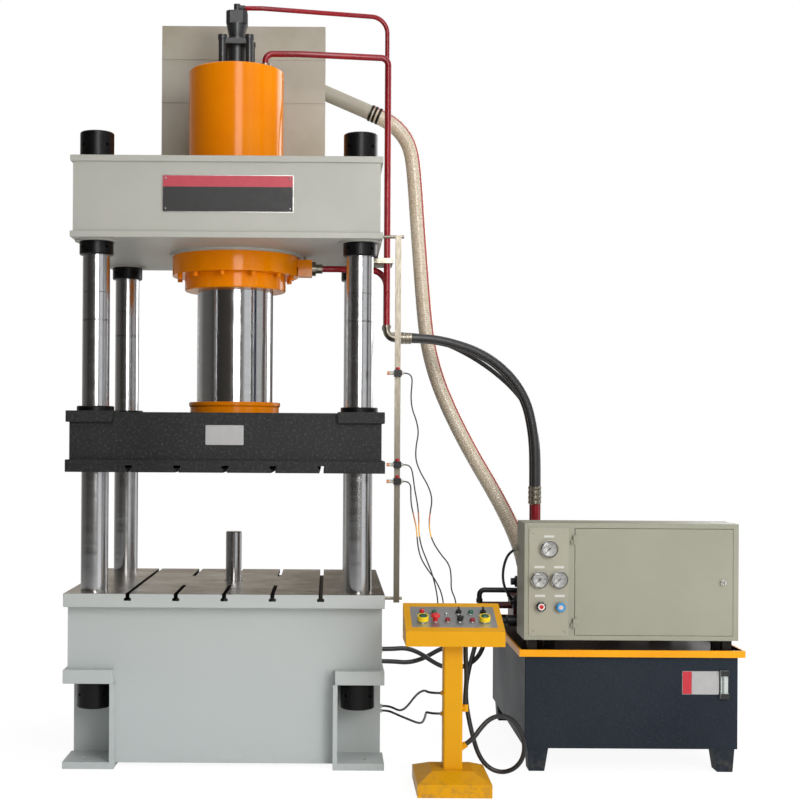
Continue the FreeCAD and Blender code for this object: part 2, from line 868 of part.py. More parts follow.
def make_ram_flange():
    """The split flange that bolts the ram to the moving beam."""
    top = slide_body_top + ram_flange_height
    lip = ram_flange_radius - 6
    return turned([(ram_radius, slide_body_top), (lip, slide_body_top),
                   (lip, top - 3 * ram_flange_lip), (ram_flange_radius, top - 2 * ram_flange_lip),
                   (ram_flange_radius, top - 2), (ram_flange_radius - 2, top),
                   (ram_radius, top)])


# ================================================================ moving beam
def make_slide():
    """The moving beam: bottom plate with T-slots, closed body and four corner plates."""
    plate_w = slide_plate_width / 2
    plate_d = slide_plate_depth / 2
    body_w = slide_body_width / 2
    body_d = slide_body_depth / 2
    plate_top = slide_bottom + slide_plate_thickness
    ceiling = slide_body_top - slide_wall
    bush_seat = bush_outer_radius + slide_wall
    corner_plate = box(corner_plate_reach - corner_plate_width, corner_plate_reach,
                       plate_d - corner_plate_width, plate_d, corner_plate_bottom,
                       corner_plate_top)
    corner_plate = corner_plate.makeChamfer(broken_edge, corner_plate.Edges)
    beam = joined([
        heavy_plate(plate_w, plate_d, slide_bottom, plate_top),
        box(-body_w, body_w, -body_d, body_d, plate_top, slide_body_top),
    ] + four_corners(lambda: corner_plate))
    hollow = box(-body_w + slide_wall, body_w - slide_wall, -body_d + slide_wall,
                 body_d - slide_wall, plate_top, ceiling)
    kept = four_corners(lambda: disc(bush_seat, column_x, column_y, plate_top, ceiling))
    kept.append(ring(ram_radius + slide_wall, ram_radius, 0, 0, plate_top, ceiling))
    for side in (-1, 1):
        x = side * crown_rib_x
        kept.append(box(x - slide_wall / 2, x + slide_wall / 2, -body_d, body_d,
                        plate_top, ceiling))
        kept.append(box(-body_w, body_w, side * ram_radius - slide_wall / 2,
                        side * ram_radius + slide_wall / 2, plate_top, ceiling))
    cuts = [hollow.cut(kept)]
    cuts += four_corners(lambda: disc(bush_outer_radius + fixed_gap, column_x, column_y,
                                      slide_bottom, corner_plate_top))
    for x in slot_places():
        cuts.append(slot_cut(x, -plate_d, plate_d, slide_bottom, 1))
    return beam.cut(cuts)


def make_bushes():
    """Four flanged bronze bushes that guide the beam on its columns."""
    inner = column_radius + running_gap
    top = corner_plate_top + bush_flange_height
    profile = [(inner, slide_bottom), (bush_outer_radius, slide_bottom),
               (bush_outer_radius, corner_plate_top), (bush_flange_radius, corner_plate_top),
               (bush_flange_radius, top - 3), (bush_flange_radius - 3, top), (inner, top)]
    return Part.makeCompound(four_corners(lambda: turned(profile, column_x, column_y)))


# ================================================================ ejector
def make_ejector_cylinder():
    """The ejector cylinder, bolted up under the table plate."""
    top = table_top - table_thickness
    guide = ejector_radius + running_gap
    floor = (top - 2 * ejector_mount_height - ejector_piston_height - ejector_stroke
             - 2 * ejector_stop_gap)
    bottom = floor - ejector_end_plate
    return turned([(0, bottom), (ejector_tube_outer, bottom),
                   (ejector_tube_outer, top - ejector_mount_height),
                   (ejector_mount_radius, top - ejector_mount_height),
                   (ejector_mount_radius, top), (guide, top),
                   (guide, top - 2 * ejector_mount_height),
                   (ejector_bore, top - 2 * ejector_mount_height), (ejector_bore, floor),
                   (0, floor)])


def make_ejector_rod():
    """The ejector rod with its piston, shown run out by its full stroke."""
    stop = table_top - table_thickness - 2 * ejector_mount_height
    piston_top = stop - ejector_stop_gap
    bottom = piston_top - ejector_piston_height
    piston = ejector_bore - running_gap
    return turned([(0, bottom), (piston, bottom), (piston, piston_top),
                   (ejector_radius, piston_top), (ejector_radius, ejector_top - 3),
                   (ejector_radius - 3, ejector_top), (0, ejector_top)])


# ================================================================ filling valve and tank
def make_filling_valve():
    """The filling valve on the barrel: plates, four posts with caps, cone, head and fitting."""
    base = barrel_top
    half = valve_square / 2
    upper = valve_upper_square / 2
    post_top = base + valve_plate + valve_post_height
    upper_low = valve_cone_start - valve_upper_plate - 14
    shapes = [
        box(-half, half, -half, half, base, base + valve_plate),
        disc(valve_barrel_radius - fixed_gap, 0, 0, base - barrel_cap, upper_low),
        box(-upper, upper, -upper, upper, upper_low, upper_low + valve_upper_plate),
        disc(valve_cone_high_radius, 0, 0, upper_low + valve_upper_plate, valve_cone_start),
        Part.makeCone(valve_cone_low_radius, valve_cone_high_radius,
                      valve_cone_end - valve_cone_start, Vector(0, 0, valve_cone_start)),
        box(-valve_cone_high_radius, valve_cone_high_radius, -valve_cone_high_radius,
            valve_cone_high_radius, valve_cone_end, valve_head_top).common(
                disc(valve_cone_high_radius * 1.18, 0, 0, valve_cone_end, valve_head_top)),
        disc(valve_fitting_radius, 0, 0, valve_head_top, valve_head_top + valve_fitting_height),
        rod(valve_fitting_radius - 2, (0, 0, valve_pipe_z), (valve_fitting_reach, 0, valve_pipe_z)),
    ]
    for sx in (-1, 1):
        for sy in (-1, 1):
            x = sx * valve_post_offset
            y = sy * valve_post_offset
            shapes.append(disc(valve_post_radius, x, y, base + valve_plate, post_top))
            shapes.append(disc(valve_cap_radius, x, y, post_top - valve_cap_height, post_top))
    return joined(shapes)


def make_filling_tank():
    """The sheet filling tank on the crown, with its slanting outlet pipe."""
    shell = box(tank_left, tank_right, tank_front, tank_back, crown_top, tank_top)
    beads = [box(tank_left, tank_right, tank_front - tank_bead_proud, tank_front,
                 z - tank_bead_height / 2, z + tank_bead_height / 2) for z in tank_bead_heights]
    inside = box(tank_left + tank_wall, tank_right - tank_wall, tank_front + tank_wall,
                 tank_back - tank_wall, crown_top + tank_wall, tank_top - tank_wall)
    start = Vector(tank_right, outlet_y, outlet_start_z)
    end = Vector(outlet_end_x, outlet_y, outlet_end_z)
    along = (end - start).normalize()
    root = start - along * (2 * outlet_radius)
    pipe = rod(outlet_radius, root, end)
    bore = rod(outlet_radius - outlet_wall, root, end)
    return joined([shell, pipe] + beads).cut(inside).cut(bore)


# ================================================================ rigid pipes
def make_steel_pipes():
    """Three pipes from the cylinder down to the hoses, and three risers at the power unit."""
    pilot = tube_along("pilot pipe", [
        (valve_fitting_reach, 0, valve_pipe_z), (120, 0, valve_pipe_z),
        (down_pipe_x, pilot_pipe_y, valve_pipe_z - 8), (down_pipe_x, pilot_pipe_y, pipe_foot_z)],
        small_pipe_radius, pipe_bend)
    upper = tube_along("barrel pipe", [
        (barrel_pipe_x, barrel_pipe_y, barrel_top + 30),
        (barrel_pipe_x, barrel_pipe_y, barrel_pipe_z),
        (barrel_pipe_x + 160, barrel_pipe_y, barrel_pipe_z),
        (down_pipe_x, front_pipe_y, barrel_pipe_z - 8), (down_pipe_x, front_pipe_y, pipe_foot_z)],
        large_pipe_radius, 35.0)
    lower = tube_along("port pipe", [
        (port_reach + 50, 0, port_pipe_z), (port_reach + 120, 0, port_pipe_z),
        (down_pipe_x, rear_pipe_y, port_pipe_z), (down_pipe_x, rear_pipe_y, pipe_foot_z)],
        large_pipe_radius, pipe_bend)
    risers = [
        disc(large_pipe_radius + 3, riser_x, front_pipe_y, header_top, riser_crimp_bottom),
        disc(large_pipe_radius + 3, riser_x, rear_pipe_y, header_top, riser_crimp_bottom),
        disc(small_pipe_radius, small_riser_x, pilot_pipe_y, header_top, riser_crimp_bottom),
    ]
    return Part.makeCompound([pilot, upper, lower] + risers)


def make_pipe_fittings():
    """Unions, elbows and crimped hose ends, and the clamp that holds the pipes to the crown."""
    fittings = []
    for y in (front_pipe_y, rear_pipe_y):
        fittings.append(make_hose_elbow(y, large_pipe_radius, large_crimp_start,
                                        large_crimp_end, large_crimp_radius, hose_start_z))
        fittings.append(make_riser_crimp(large_crimp_radius, riser_x, y))
    fittings.append(make_hose_elbow(pilot_pipe_y, small_pipe_radius, small_crimp_start,
                                    small_crimp_end, small_crimp_radius, small_hose_start_z))
    fittings.append(make_riser_crimp(small_crimp_radius, small_riser_x, pilot_pipe_y))
    fittings.append(make_pipe_clamp())
    fittings.append(turned_side([(0, 0), (34, 0), (34, 18), (22, 18), (22, 50), (0, 50)],
                                port_reach, 0, port_pipe_z))
    floor = oil_tank_top + tray_sheet
    fittings.append(turned([(0, floor), (return_stub_radius + 16, floor),
                            (return_stub_radius + 16, floor + 10),
                            (return_stub_radius, floor + 10),
                            (return_stub_radius, return_stub_top), (0, return_stub_top)],
                           return_stub_x, return_stub_y))
    union = disc(26, barrel_pipe_x, barrel_pipe_y, barrel_top, barrel_top + 30)
    fittings.append(union)
    bleed_x = weld_ring_radius + 20
    bleed = disc(7, bleed_x, 0, port_top, port_top + 12)
    fittings.append(bleed.fuse(disc(9, bleed_x, 0, port_top + 12, port_top + 20)))
    return Part.makeCompound(fittings)


def make_riser_crimp(radius, x, y):
    """The crimped end of a hose that stands on a riser."""
    length = riser_crimp_top - riser_crimp_bottom
    return turned([(r, riser_crimp_bottom + d) for r, d in ferrule(radius, length)], x, y)


def make_hose_elbow(y, radius, crimp_start, crimp_end, crimp_radius, z):
    """An elbow under a pipe's foot that turns to the right, and the hose's crimped end."""
    elbow = tube_along("hose elbow", [
        (down_pipe_x, y, pipe_foot_z), (down_pipe_x, y, z), (crimp_start, y, z)],
        radius + 1, pipe_foot_z - z - 16)
    collar = disc(radius + 6, down_pipe_x, y, pipe_foot_z - 14, pipe_foot_z)
    crimp = turned_side(ferrule(crimp_radius, crimp_end - crimp_start + 2), crimp_start - 2, y, z)
    return joined([elbow, collar, crimp])


def make_pipe_clamp():
    """The clamp bar under the crown's edge that holds the two outer down pipes."""
    z = crown_bottom - 25
    reach = down_pipe_x + large_pipe_radius + 12
    near = crown_width / 2 - 30
    bar = box(near, reach, front_pipe_y - 30, pilot_pipe_y + 26, z - 12, z + 12)
    hanger = box(near, near + 10, front_pipe_y - 30, pilot_pipe_y + 26, z + 12, crown_bottom)
    clamp = bar.fuse(hanger)
    for y, radius in ((front_pipe_y, large_pipe_radius), (pilot_pipe_y, small_pipe_radius)):
        clamp = clamp.cut(disc(radius + fixed_gap, down_pipe_x, y, z - 12, z + 12))
    return clamp


# ================================================================ limit switches
def make_switch_bar():
    """The square bar beside the press, with the two rods that hold it off the frame."""
    half = bar_side / 2
    bar = box(bar_x - half, bar_x + half, bar_y - half, bar_y + half, bar_bottom, bar_top)
    reach = bar_x + half + bar_rod_overhang
    high = rod(bar_rod_radius, (crown_width / 2, bar_y, bar_rod_high_z),
               (reach, bar_y, bar_rod_high_z))
    low = rod(bar_rod_radius, (table_width / 2, bar_y, bar_rod_low_z),
              (reach, bar_y, bar_rod_low_z))
    return joined([bar, high, low])


def make_switches():
    """Three proximity switches, each in a clamp block on the bar with a tightening knob."""
    half = bar_side / 2
    block_half = clamp_width / 2
    switches = []
    for z in switch_heights:
        block = box(bar_x - block_half, bar_x + block_half, switch_y - switch_radius - 6,
                    bar_y + half + 8, z - clamp_height / 2, z + clamp_height / 2)
        body = rod(switch_radius, (switch_tip_x, switch_y, z), (switch_end_x, switch_y, z))
        knob = disc(9, bar_x, switch_y, z + clamp_height / 2, z + clamp_height / 2 + 12)
        slot = box(bar_x - half - fixed_gap, bar_x + half + fixed_gap,
                   bar_y - half - fixed_gap, bar_y + half + fixed_gap,
                   z - clamp_height / 2, z + clamp_height / 2)
        switches.append(joined([block, body, knob]).cut(slot))
    return Part.makeCompound(switches)


# ================================================================ power unit
def make_oil_tank():
    """The oil tank: a closed sheet box on four tapered feet."""
    shell = box(oil_tank_left, oil_tank_right, oil_tank_front, oil_tank_back,
                oil_tank_bottom, oil_tank_top)
    shell = rounded(shell, upright, folded_edge)
    wall = oil_tank_wall
    inside = box(oil_tank_left + wall, oil_tank_right - wall, oil_tank_front + wall,
                 oil_tank_back - wall, oil_tank_bottom + wall, oil_tank_top - wall)
    feet = []
    for side, x in ((1, oil_tank_left + 12), (-1, oil_tank_right - 12)):
        for y in (oil_tank_front + 4, oil_tank_back - 4 - foot_depth):
            inset = (foot_top_width - foot_bottom_width) * 0.8
            top = [(x, oil_tank_bottom), (x + side * foot_top_width, oil_tank_bottom)]
            foot = [(x + side * (foot_bottom_width + inset * 0.2), 0), (x + side * inset * 0.5, 0)]
            points = [Vector(px, y, pz) for px, pz in top + foot]
            face = Part.Face(Part.makePolygon(points + points[:1]))
            feet.append(face.extrude(Vector(0, foot_depth, 0)))
    suction = disc(suction_hole_radius, pump_left + 60, motor_y, oil_tank_top - wall, oil_tank_top)
    return joined([shell] + feet).cut([inside, suction])


def make_drip_tray():
    """The drip tray that lies on the tank and sticks out all round."""
    left = oil_tank_left - tray_overhang_x
    right = oil_tank_right + tray_overhang_x
    outer = box(left, right, tray_front, tray_back, oil_tank_top, tray_top)
    inner = box(left + tray_rim, right - tray_rim, tray_front + tray_rim, tray_back - tray_rim,
                oil_tank_top + tray_sheet, tray_top)
    suction = disc(suction_hole_radius, pump_left + 60, motor_y, oil_tank_top, tray_top)
    return outer.cut([inner, suction])


def make_cabinet():
    """The switch cabinet: folded sheet, open behind its door, on four stand-offs."""
    sheet = cabinet_sheet
    shell = box(cabinet_left, cabinet_right, cabinet_front, cabinet_back,
                cabinet_bottom, cabinet_top)
    inside = box(cabinet_left + sheet, cabinet_right - sheet, cabinet_front + sheet,
                 cabinet_back - sheet, cabinet_bottom + sheet, cabinet_top - sheet)
    doorway = box(door_left - door_gap, door_right + door_gap, cabinet_front,
                  cabinet_front + sheet, door_bottom - door_gap, door_top + door_gap)
    shapes = [shell]
    floor = oil_tank_top + tray_sheet
    for x in (cabinet_left + 20, cabinet_right - 20 - standoff_side):
        for y in (cabinet_front + 30, cabinet_back - 10 - standoff_side):
            shapes.append(box(x, x + standoff_side, y, y + standoff_side, floor, cabinet_bottom))
    for z in hinge_heights:
        shapes.append(hinge_knuckle(z - hinge_knuckle_height, True))
        shapes.append(disc(hinge_pin_radius, hinge_x, hinge_y, z - hinge_knuckle_height,
                           z + hinge_knuckle_height - 2))
    shapes.append(rod(10, valve_gland_root, valve_cable_route[0]))
    body = joined(shapes).cut([inside, doorway])
    holes = [rod(knob_stem_radius + fixed_gap, (x, cabinet_front - 1, z),
                 (x, cabinet_front + sheet, z)) for x, z in knob_places.values()]
    holes += [rod(gauge_stem_radius + 6, (x, cabinet_front - 1, z), (x, cabinet_front + sheet, z))
              for x, z in gauge_places.values()]
    return body.cut(holes)


def hinge_knuckle(z, fixed):
    """One knuckle of a hinge with the tab that joins it to its leaf."""
    barrel = disc(hinge_knuckle_radius, hinge_x, hinge_y, z, z + hinge_knuckle_height)
    if fixed:
        tab = box(hinge_x - 12, hinge_x, hinge_y, cabinet_front, z, z + hinge_knuckle_height)
        return barrel.fuse(tab)
    tab = box(hinge_x, door_left + 12, hinge_y - 1.5, cabinet_front - door_sheet,
              z, z + hinge_knuckle_height)
    return barrel.fuse(tab)


def make_door():
    """The cabinet door: a sheet leaf with its edges folded in, two knuckles and a lock hole."""
    front = cabinet_front - door_sheet
    leaf = box(door_left, door_right, front, cabinet_front, door_bottom, door_top)
    folded = box(door_left, door_right, cabinet_front, cabinet_front + door_return,
                 door_bottom, door_top)
    hollow = box(door_left + door_sheet, door_right - door_sheet, cabinet_front,
                 cabinet_front + door_return, door_bottom + door_sheet, door_top - door_sheet)
    shapes = [leaf, folded.cut(hollow)]
    for z in hinge_heights:
        shapes.append(hinge_knuckle(z + soft_gap, False))
    door = joined(shapes)
    cuts = [rod(lock_shaft_radius, (lock_x, front - 1, lock_z), (lock_x, cabinet_front + 1, lock_z))]
    for z in hinge_heights:
        cuts.append(disc(hinge_pin_radius + button_gap, hinge_x, hinge_y, z,
                         z + hinge_knuckle_height + 1))
    return door.cut(cuts)


def make_door_lock():
    """The door's cylinder lock with its key in it and its cam behind the leaf."""
    front = cabinet_front - door_sheet
    shaft = lock_shaft_radius - button_gap
    body = turned_front([(0, -lock_collar_height), (lock_collar_radius - 2, -lock_collar_height),
                         (lock_collar_radius, -lock_collar_height + 2),
                         (lock_collar_radius, -soft_gap), (shaft, -soft_gap),
                         (shaft, door_return), (0, door_return)], lock_x, front, lock_z)
    half = lock_bow_thickness / 2
    shank = box(lock_x - half, lock_x + half, front - lock_collar_height - 8,
                front - lock_collar_height + 1, lock_z - 4, lock_z + 4)
    bow = rod(lock_bow_width / 2, (lock_x - half, front - lock_collar_height - 16, lock_z),
              (lock_x + half, front - lock_collar_height - 16, lock_z))
    cam = box(lock_x - shaft, lock_x + shaft, front + door_return - 3, front + door_return,
              lock_z - lock_cam_length, lock_z)
    return joined([body, shank, bow, cam])


def make_gauge_panel():
    """The gauge panel screwed to the cabinet's front."""
    front = cabinet_front - gauge_panel_sheet
    panel = box(gauge_panel_left, gauge_panel_right, front, cabinet_front,
                gauge_panel_bottom, gauge_panel_top)
    holes = [rod(knob_stem_radius + button_gap, (x, front - 1, z), (x, cabinet_front + 1, z))
             for x, z in knob_places.values()]
    holes += [rod(gauge_stem_radius + 5, (x, front - 1, z), (x, cabinet_front + 1, z))
              for x, z in gauge_places.values()]
    heads = []
    inset = 10.0
    for x in (gauge_panel_left + inset, gauge_panel_right - inset):
        for z in (gauge_panel_bottom + inset, gauge_panel_top - inset):
            heads.append(rod(4.5, (x, front - 2, z), (x, front, z)))
    return joined([panel] + heads).cut(holes)


def make_gauge_cases():
    """Three round gauge cases with a raised rim, a sunk dial and a threaded neck."""
    front = cabinet_front - gauge_panel_sheet
    cases = []
    for x, z in gauge_places.values():
        face = -gauge_depth + gauge_face_depth
        pin_bore = gauge_stem_radius + button_gap
        cases.append(turned_front([
            (pin_bore, face), (gauge_radius - gauge_rim, face),
            (gauge_radius - gauge_rim, -gauge_depth), (gauge_radius - 2, -gauge_depth),
            (gauge_radius, -gauge_depth + 2), (gauge_radius, 0), (gauge_stem_radius + 4, 0),
            (gauge_stem_radius + 4, 30), (0, 30), (0, face + 8), (pin_bore, face + 8),
        ], x, front, z))
    return Part.makeCompound(cases)


def make_pointer(x, z):
    """A gauge pointer on its spindle. At rest it points down and to the left, at zero."""
    front = cabinet_front - gauge_panel_sheet
    face = -gauge_depth + gauge_face_depth
    spindle = turned_front([(0, face - 4), (gauge_stem_radius, face - 4),
                            (gauge_stem_radius, face + 7), (0, face + 7)], x, front, z)
    length = gauge_radius - gauge_rim - 7
    blade_points = [Vector(-10, 0, -1.6), Vector(length, 0, -0.5), Vector(length, 0, 0.5),
                    Vector(-10, 0, 1.6)]
    blade = Part.Face(Part.makePolygon(blade_points + blade_points[:1])).extrude(Vector(0, 1.5, 0))
    blade.rotate(Vector(0, 0, 0), Vector(0, 1, 0), 135)
    blade.translate(Vector(x, front + face - 3, z))
    return spindle.fuse(blade).removeSplitter()


def make_knob(x, z):
    """A fluted valve knob on its stem."""
    front = cabinet_front - gauge_panel_sheet
    knob = turned_front([(0, -knob_height), (knob_radius - 4, -knob_height),
                         (knob_radius, -knob_height + 4), (knob_radius, -5),
                         (knob_stem_radius, -5), (knob_stem_radius, 22), (0, 22)], x, front, z)
    cuts = []
    for i in range(knob_flutes):
        angle = 2 * math.pi * i / knob_flutes
        cx = x + (knob_radius + 3) * math.cos(angle)
        cz = z + (knob_radius + 3) * math.sin(angle)
        cuts.append(rod(6, (cx, front - knob_height - 1, cz), (cx, front - 4, cz)))
    return knob.cut(cuts)


def make_level_gauge():
    """The oil level gauge on the tank's front: two end blocks and a sight tube."""
    front = oil_tank_front
    block = 22.0
    low = box(level_gauge_left, level_gauge_right, front - level_gauge_depth, front,
              level_gauge_bottom, level_gauge_bottom + block)
    high = box(level_gauge_left, level_gauge_right, front - level_gauge_depth, front,
               level_gauge_top - block, level_gauge_top)
    middle = (level_gauge_left + level_gauge_right) / 2
    back = box(level_gauge_left + 3, level_gauge_right - 3, front - 6, front,
               level_gauge_bottom, level_gauge_top)
    tube = disc(8, middle, front - level_gauge_depth / 2, level_gauge_bottom,
                level_gauge_top)
    return joined([low, high, back, tube])


def make_motor():
    """The pump motor: finned housing on feet, bell housing and fan cover."""
    length = motor_right - motor_left
    bore = motor_shaft_radius + running_gap
    housing = turned_side([(bore, 0), (motor_radius, 0), (motor_radius, length),
                           (fan_radius + 10, length), (fan_radius + 10, length - 12),
                           (bore, length - 12)], motor_left, motor_y, motor_z)
    fins = []
    for i in range(motor_fin_count):
        fin = box(motor_left + 20, motor_right - 20, -motor_fin_thickness / 2,
                  motor_fin_thickness / 2, motor_radius - 4, motor_radius + motor_fin_height)
        fin.rotate(Vector(0, 0, 0), Vector(1, 0, 0), 360 * i / motor_fin_count)
        fin.translate(Vector(0, motor_y, motor_z))
        fins.append(fin)
    cover_end = length + motor_cover_length
    cover_radius = motor_radius + motor_fin_height
    cover = turned_side([(fan_radius + 6, length - 20), (cover_radius, length - 20),
                         (cover_radius, cover_end - 8), (cover_radius - 8, cover_end),
                         (40, cover_end), (40, cover_end - 3), (cover_radius - 11, cover_end - 3),
                         (fan_radius + 6, cover_end - 6)], motor_left, motor_y, motor_z)
    bell_length = motor_left - bell_left
    bell = turned_side([(bell_radius - bell_wall, -bell_length + bell_wall),
                        (bell_radius - bell_wall, 0), (bell_radius + 25, 0),
                        (bell_radius + 25, -12), (bell_radius, -12),
                        (bell_radius, -bell_length), (34, -bell_length),
                        (34, -bell_length + bell_wall)], motor_left, motor_y, motor_z)
    floor = oil_tank_top + tray_sheet
    feet = []
    for x in (motor_left + 40, motor_right - 110):
        feet.append(box(x, x + 70, motor_y - 110, motor_y + 110, floor, floor + 18))
        feet.append(box(x, x + 70, motor_y - 80, motor_y - 60, floor, motor_z - 80))
        feet.append(box(x, x + 70, motor_y + 60, motor_y + 80, floor, motor_z - 80))
    box_top = motor_z + motor_radius + 60
    terminal = box(motor_left + 120, motor_left + 240, motor_y - 60, motor_y + 60,
                   motor_z + motor_radius - 20, box_top)
    keep_bore = rod(bore, (motor_left - 1, motor_y, motor_z), (motor_right, motor_y, motor_z))
    return joined([housing, cover, bell, terminal] + fins + feet).cut(keep_bore)


def make_rotor():
    """The motor's shaft with its coupling and its fan."""
    stub = pump_seat_radius - running_gap
    coupling = turned_side([(0, -140), (stub, -140), (stub, -70), (42, -70), (42, -45), (36, -45),
                            (36, -40), (42, -40), (42, -12), (motor_shaft_radius, -12),
                            (motor_shaft_radius, motor_right - motor_left + 40),
                            (0, motor_right - motor_left + 40)], motor_left, motor_y, motor_z)
    hub_x = motor_right + 8
    hub = rod(32, (hub_x, motor_y, motor_z), (hub_x + 28, motor_y, motor_z))
    blades = []
    for i in range(fan_blades):
        blade = box(hub_x, hub_x + 26, -1.5, 1.5, 28, fan_radius)
        blade.rotate(Vector(hub_x + 13, 0, 60), Vector(0, 0, 1), 25)
        blade.rotate(Vector(0, 0, 0), Vector(1, 0, 0), 360 * i / fan_blades)
        blade.translate(Vector(0, motor_y, motor_z))
        blades.append(blade)
    return joined([coupling, hub] + blades)


def make_pump():
    """The gear pump on the bell housing, with its suction pipe into the tank."""
    reach = bell_left - pump_left
    spigot = 34 - fixed_gap
    body = turned_side([(0, 0), (spigot, 0), (spigot, bell_wall), (0, bell_wall)],
                       bell_left, motor_y, motor_z)
    case = rod(pump_radius, (pump_left, motor_y, motor_z), (bell_left, motor_y, motor_z))
    side = box(pump_left + 30, bell_left - 30, motor_y - pump_radius - 10,
               motor_y + pump_radius + 10, motor_z - 35, motor_z + 35)
    cap = rod(pump_radius - 12, (pump_left - 14, motor_y, motor_z),
              (pump_left, motor_y, motor_z))
    suction = disc(24, pump_left + 60, motor_y, oil_tank_bottom + 60, motor_z - 40)
    shaft_seat = rod(pump_seat_radius, (bell_left - reach / 2, motor_y, motor_z),
                     (bell_left + bell_wall + 1, motor_y, motor_z))
    return joined([body, case, side, cap, suction]).cut(shaft_seat)


def make_manifold():
    """The valve manifold beside the cabinet: header block, stacked valves, coils and elbows."""
    floor = oil_tank_top + tray_sheet
    header = box(header_left, header_right, header_front, header_back, header_bottom, header_top)
    stack = box(stack_left, stack_right, stack_front, header_front, header_bottom, stack_top)
    feet = [box(stack_left + 10, stack_right - 10, y, y + 30, floor, header_bottom)
            for y in (stack_front + 10, header_back - 80)]
    shapes = [header, stack] + feet
    coil_start = stack_left - valve_body_length
    for row, length in enumerate(coil_lengths):
        z = header_bottom + valve_pitch * (row + 0.5) + 7
        shapes.append(box(coil_start, stack_left, valve_y - 45, valve_y + 45,
                          z - valve_body_half, z + valve_body_half))
        shapes.append(turned_side([(0, 0), (coil_radius - 4, 0), (coil_radius - 4, -8),
                                   (coil_radius, -8), (coil_radius, 20 - length),
                                   (coil_radius - 10, 16 - length), (coil_radius - 10, -length),
                                   (0, -length)], coil_start, valve_y, z))
        if row % 2:
            shapes.append(box(coil_start - length + 12, coil_start - length + 54,
                              valve_y - 15, valve_y + 15, z - 31, z + 6))
    shapes.append(rod(9, valve_socket_root, valve_cable_route[-1]))
    return joined(shapes + make_manifold_elbows())


def make_manifold_elbows():
    """Three elbows that take the ejector's hoses and the pedestal's cable, and a cable socket."""
    elbows = []
    reach = header_left + 5
    for name, x, y in (("upper elbow", *upper_elbow), ("lower elbow", *lower_elbow)):
        elbows.append(tube_along(name, [(reach, y, elbow_z), (x, y, elbow_z),
                                        (x, y, elbow_z - 40)], 13, 24))
        elbows.append(turned([(r, elbow_socket_bottom + d) for r, d in ferrule(17, 18)], x, y))
    x, y = cable_elbow
    elbows.append(tube_along("cable elbow", [(stack_left + 5, y, cable_elbow_z),
                                             (x, y, cable_elbow_z),
                                             (x, y, cable_socket_bottom + 18)], 12, 24))
    elbows.append(disc(15, x, y, cable_socket_bottom, cable_socket_bottom + 18))
    return elbows


# ================================================================ control pedestal
slope = math.atan2(console_back_top - console_front_top, console_back - console_front)
slope_length = math.hypot(console_back_top - console_front_top, console_back - console_front)
up_slope = Vector(0, math.cos(slope), math.sin(slope))
off_slope = Vector(0, -math.sin(slope), math.cos(slope))
console_middle = (console_left + console_right) / 2


def slope_point(column, along, height=0.0):
    """A point over the console's sloping top. Columns count from its middle."""
    edge = Vector(console_middle + column * control_pitch, console_front, console_front_top)
    return edge + up_slope * along + off_slope * height


def panel_turned(profile, column, along):
    """A solid of revolution that stands square on the sloping panel."""
    solid = turned(profile)
    solid.rotate(Vector(0, 0, 0), Vector(1, 0, 0), math.degrees(slope))
    solid.translate(slope_point(column, along))
    return solid


def sloped_box(x0, x1, a0, a1, h0, h1):
    """A box laid on the console's slope."""
    solid = box(x0, x1, a0, a1, h0, h1)
    solid.rotate(Vector(0, 0, 0), Vector(1, 0, 0), math.degrees(slope))
    solid.translate(Vector(0, console_front, console_front_top))
    return solid


def make_pedestal():
    """The pedestal: foot, post and console box, welded of sheet and open under the foot."""
    left = pedestal_foot_left
    right = pedestal_foot_right
    front = pedestal_foot_front
    back = pedestal_foot_back
    outer = foot_shape(left, right, front, back, 0.0)
    inner = foot_shape(left, right, front, back, pedestal_sheet)
    half = post_side / 2
    hole = half - post_wall
    post = box(pedestal_x - half, pedestal_x + half, post_y - half, post_y + half,
               pedestal_foot_top - pedestal_sheet, console_bottom)
    post = rounded(post, upright, post_corner)
    post_bore = box(pedestal_x - hole, pedestal_x + hole, post_y - hole, post_y + hole,
                    pedestal_foot_top, console_bottom)
    post_bore = rounded(post_bore, upright, post_corner - post_wall)
    profile = [(console_front, console_bottom), (console_back, console_bottom),
               (console_back, console_back_top), (console_front, console_front_top)]
    shell = prism(profile, console_left, console_right)
    sheet = console_sheet
    thin = sheet / math.cos(slope)
    hollow = prism([(console_front + sheet, console_bottom + sheet),
                    (console_back - sheet, console_bottom + sheet),
                    (console_back - sheet, console_back_top - sheet * math.tan(slope) - thin),
                    (console_front + sheet, console_front_top + sheet * math.tan(slope) - thin)],
                   console_left + sheet, console_right - sheet)
    window = sloped_box(console_left + panel_margin_side, console_right - panel_margin_side,
                        panel_margin_front, slope_length - panel_margin_back, -2 * sheet, 1)
    glands = [rod(7, (x, console_back, z), (x, console_back + 10, z)) for x, z in console_glands]
    glands.append(disc(13, *console_drop, console_bottom - 14, console_bottom))
    post_glands = [rod(9, (pedestal_x - half - 8, post_y, z), (pedestal_x - half, post_y, z))
                   for z in base_cable_entries]
    post_glands.append(rod(13, loop_gland_root, loop_gland_tip))
    drop_x, drop_y = console_drop
    post_glands.append(rod(11, (pedestal_x + half, drop_y, drop_entry_z - 16),
                           (drop_x, drop_y, drop_entry_z - 16)))
    post_glands.append(disc(13, drop_x, drop_y, drop_entry_z - 30, drop_entry_z))
    body = joined([outer, post, shell] + glands + post_glands)
    return body.cut([inner, post_bore, hollow, window])


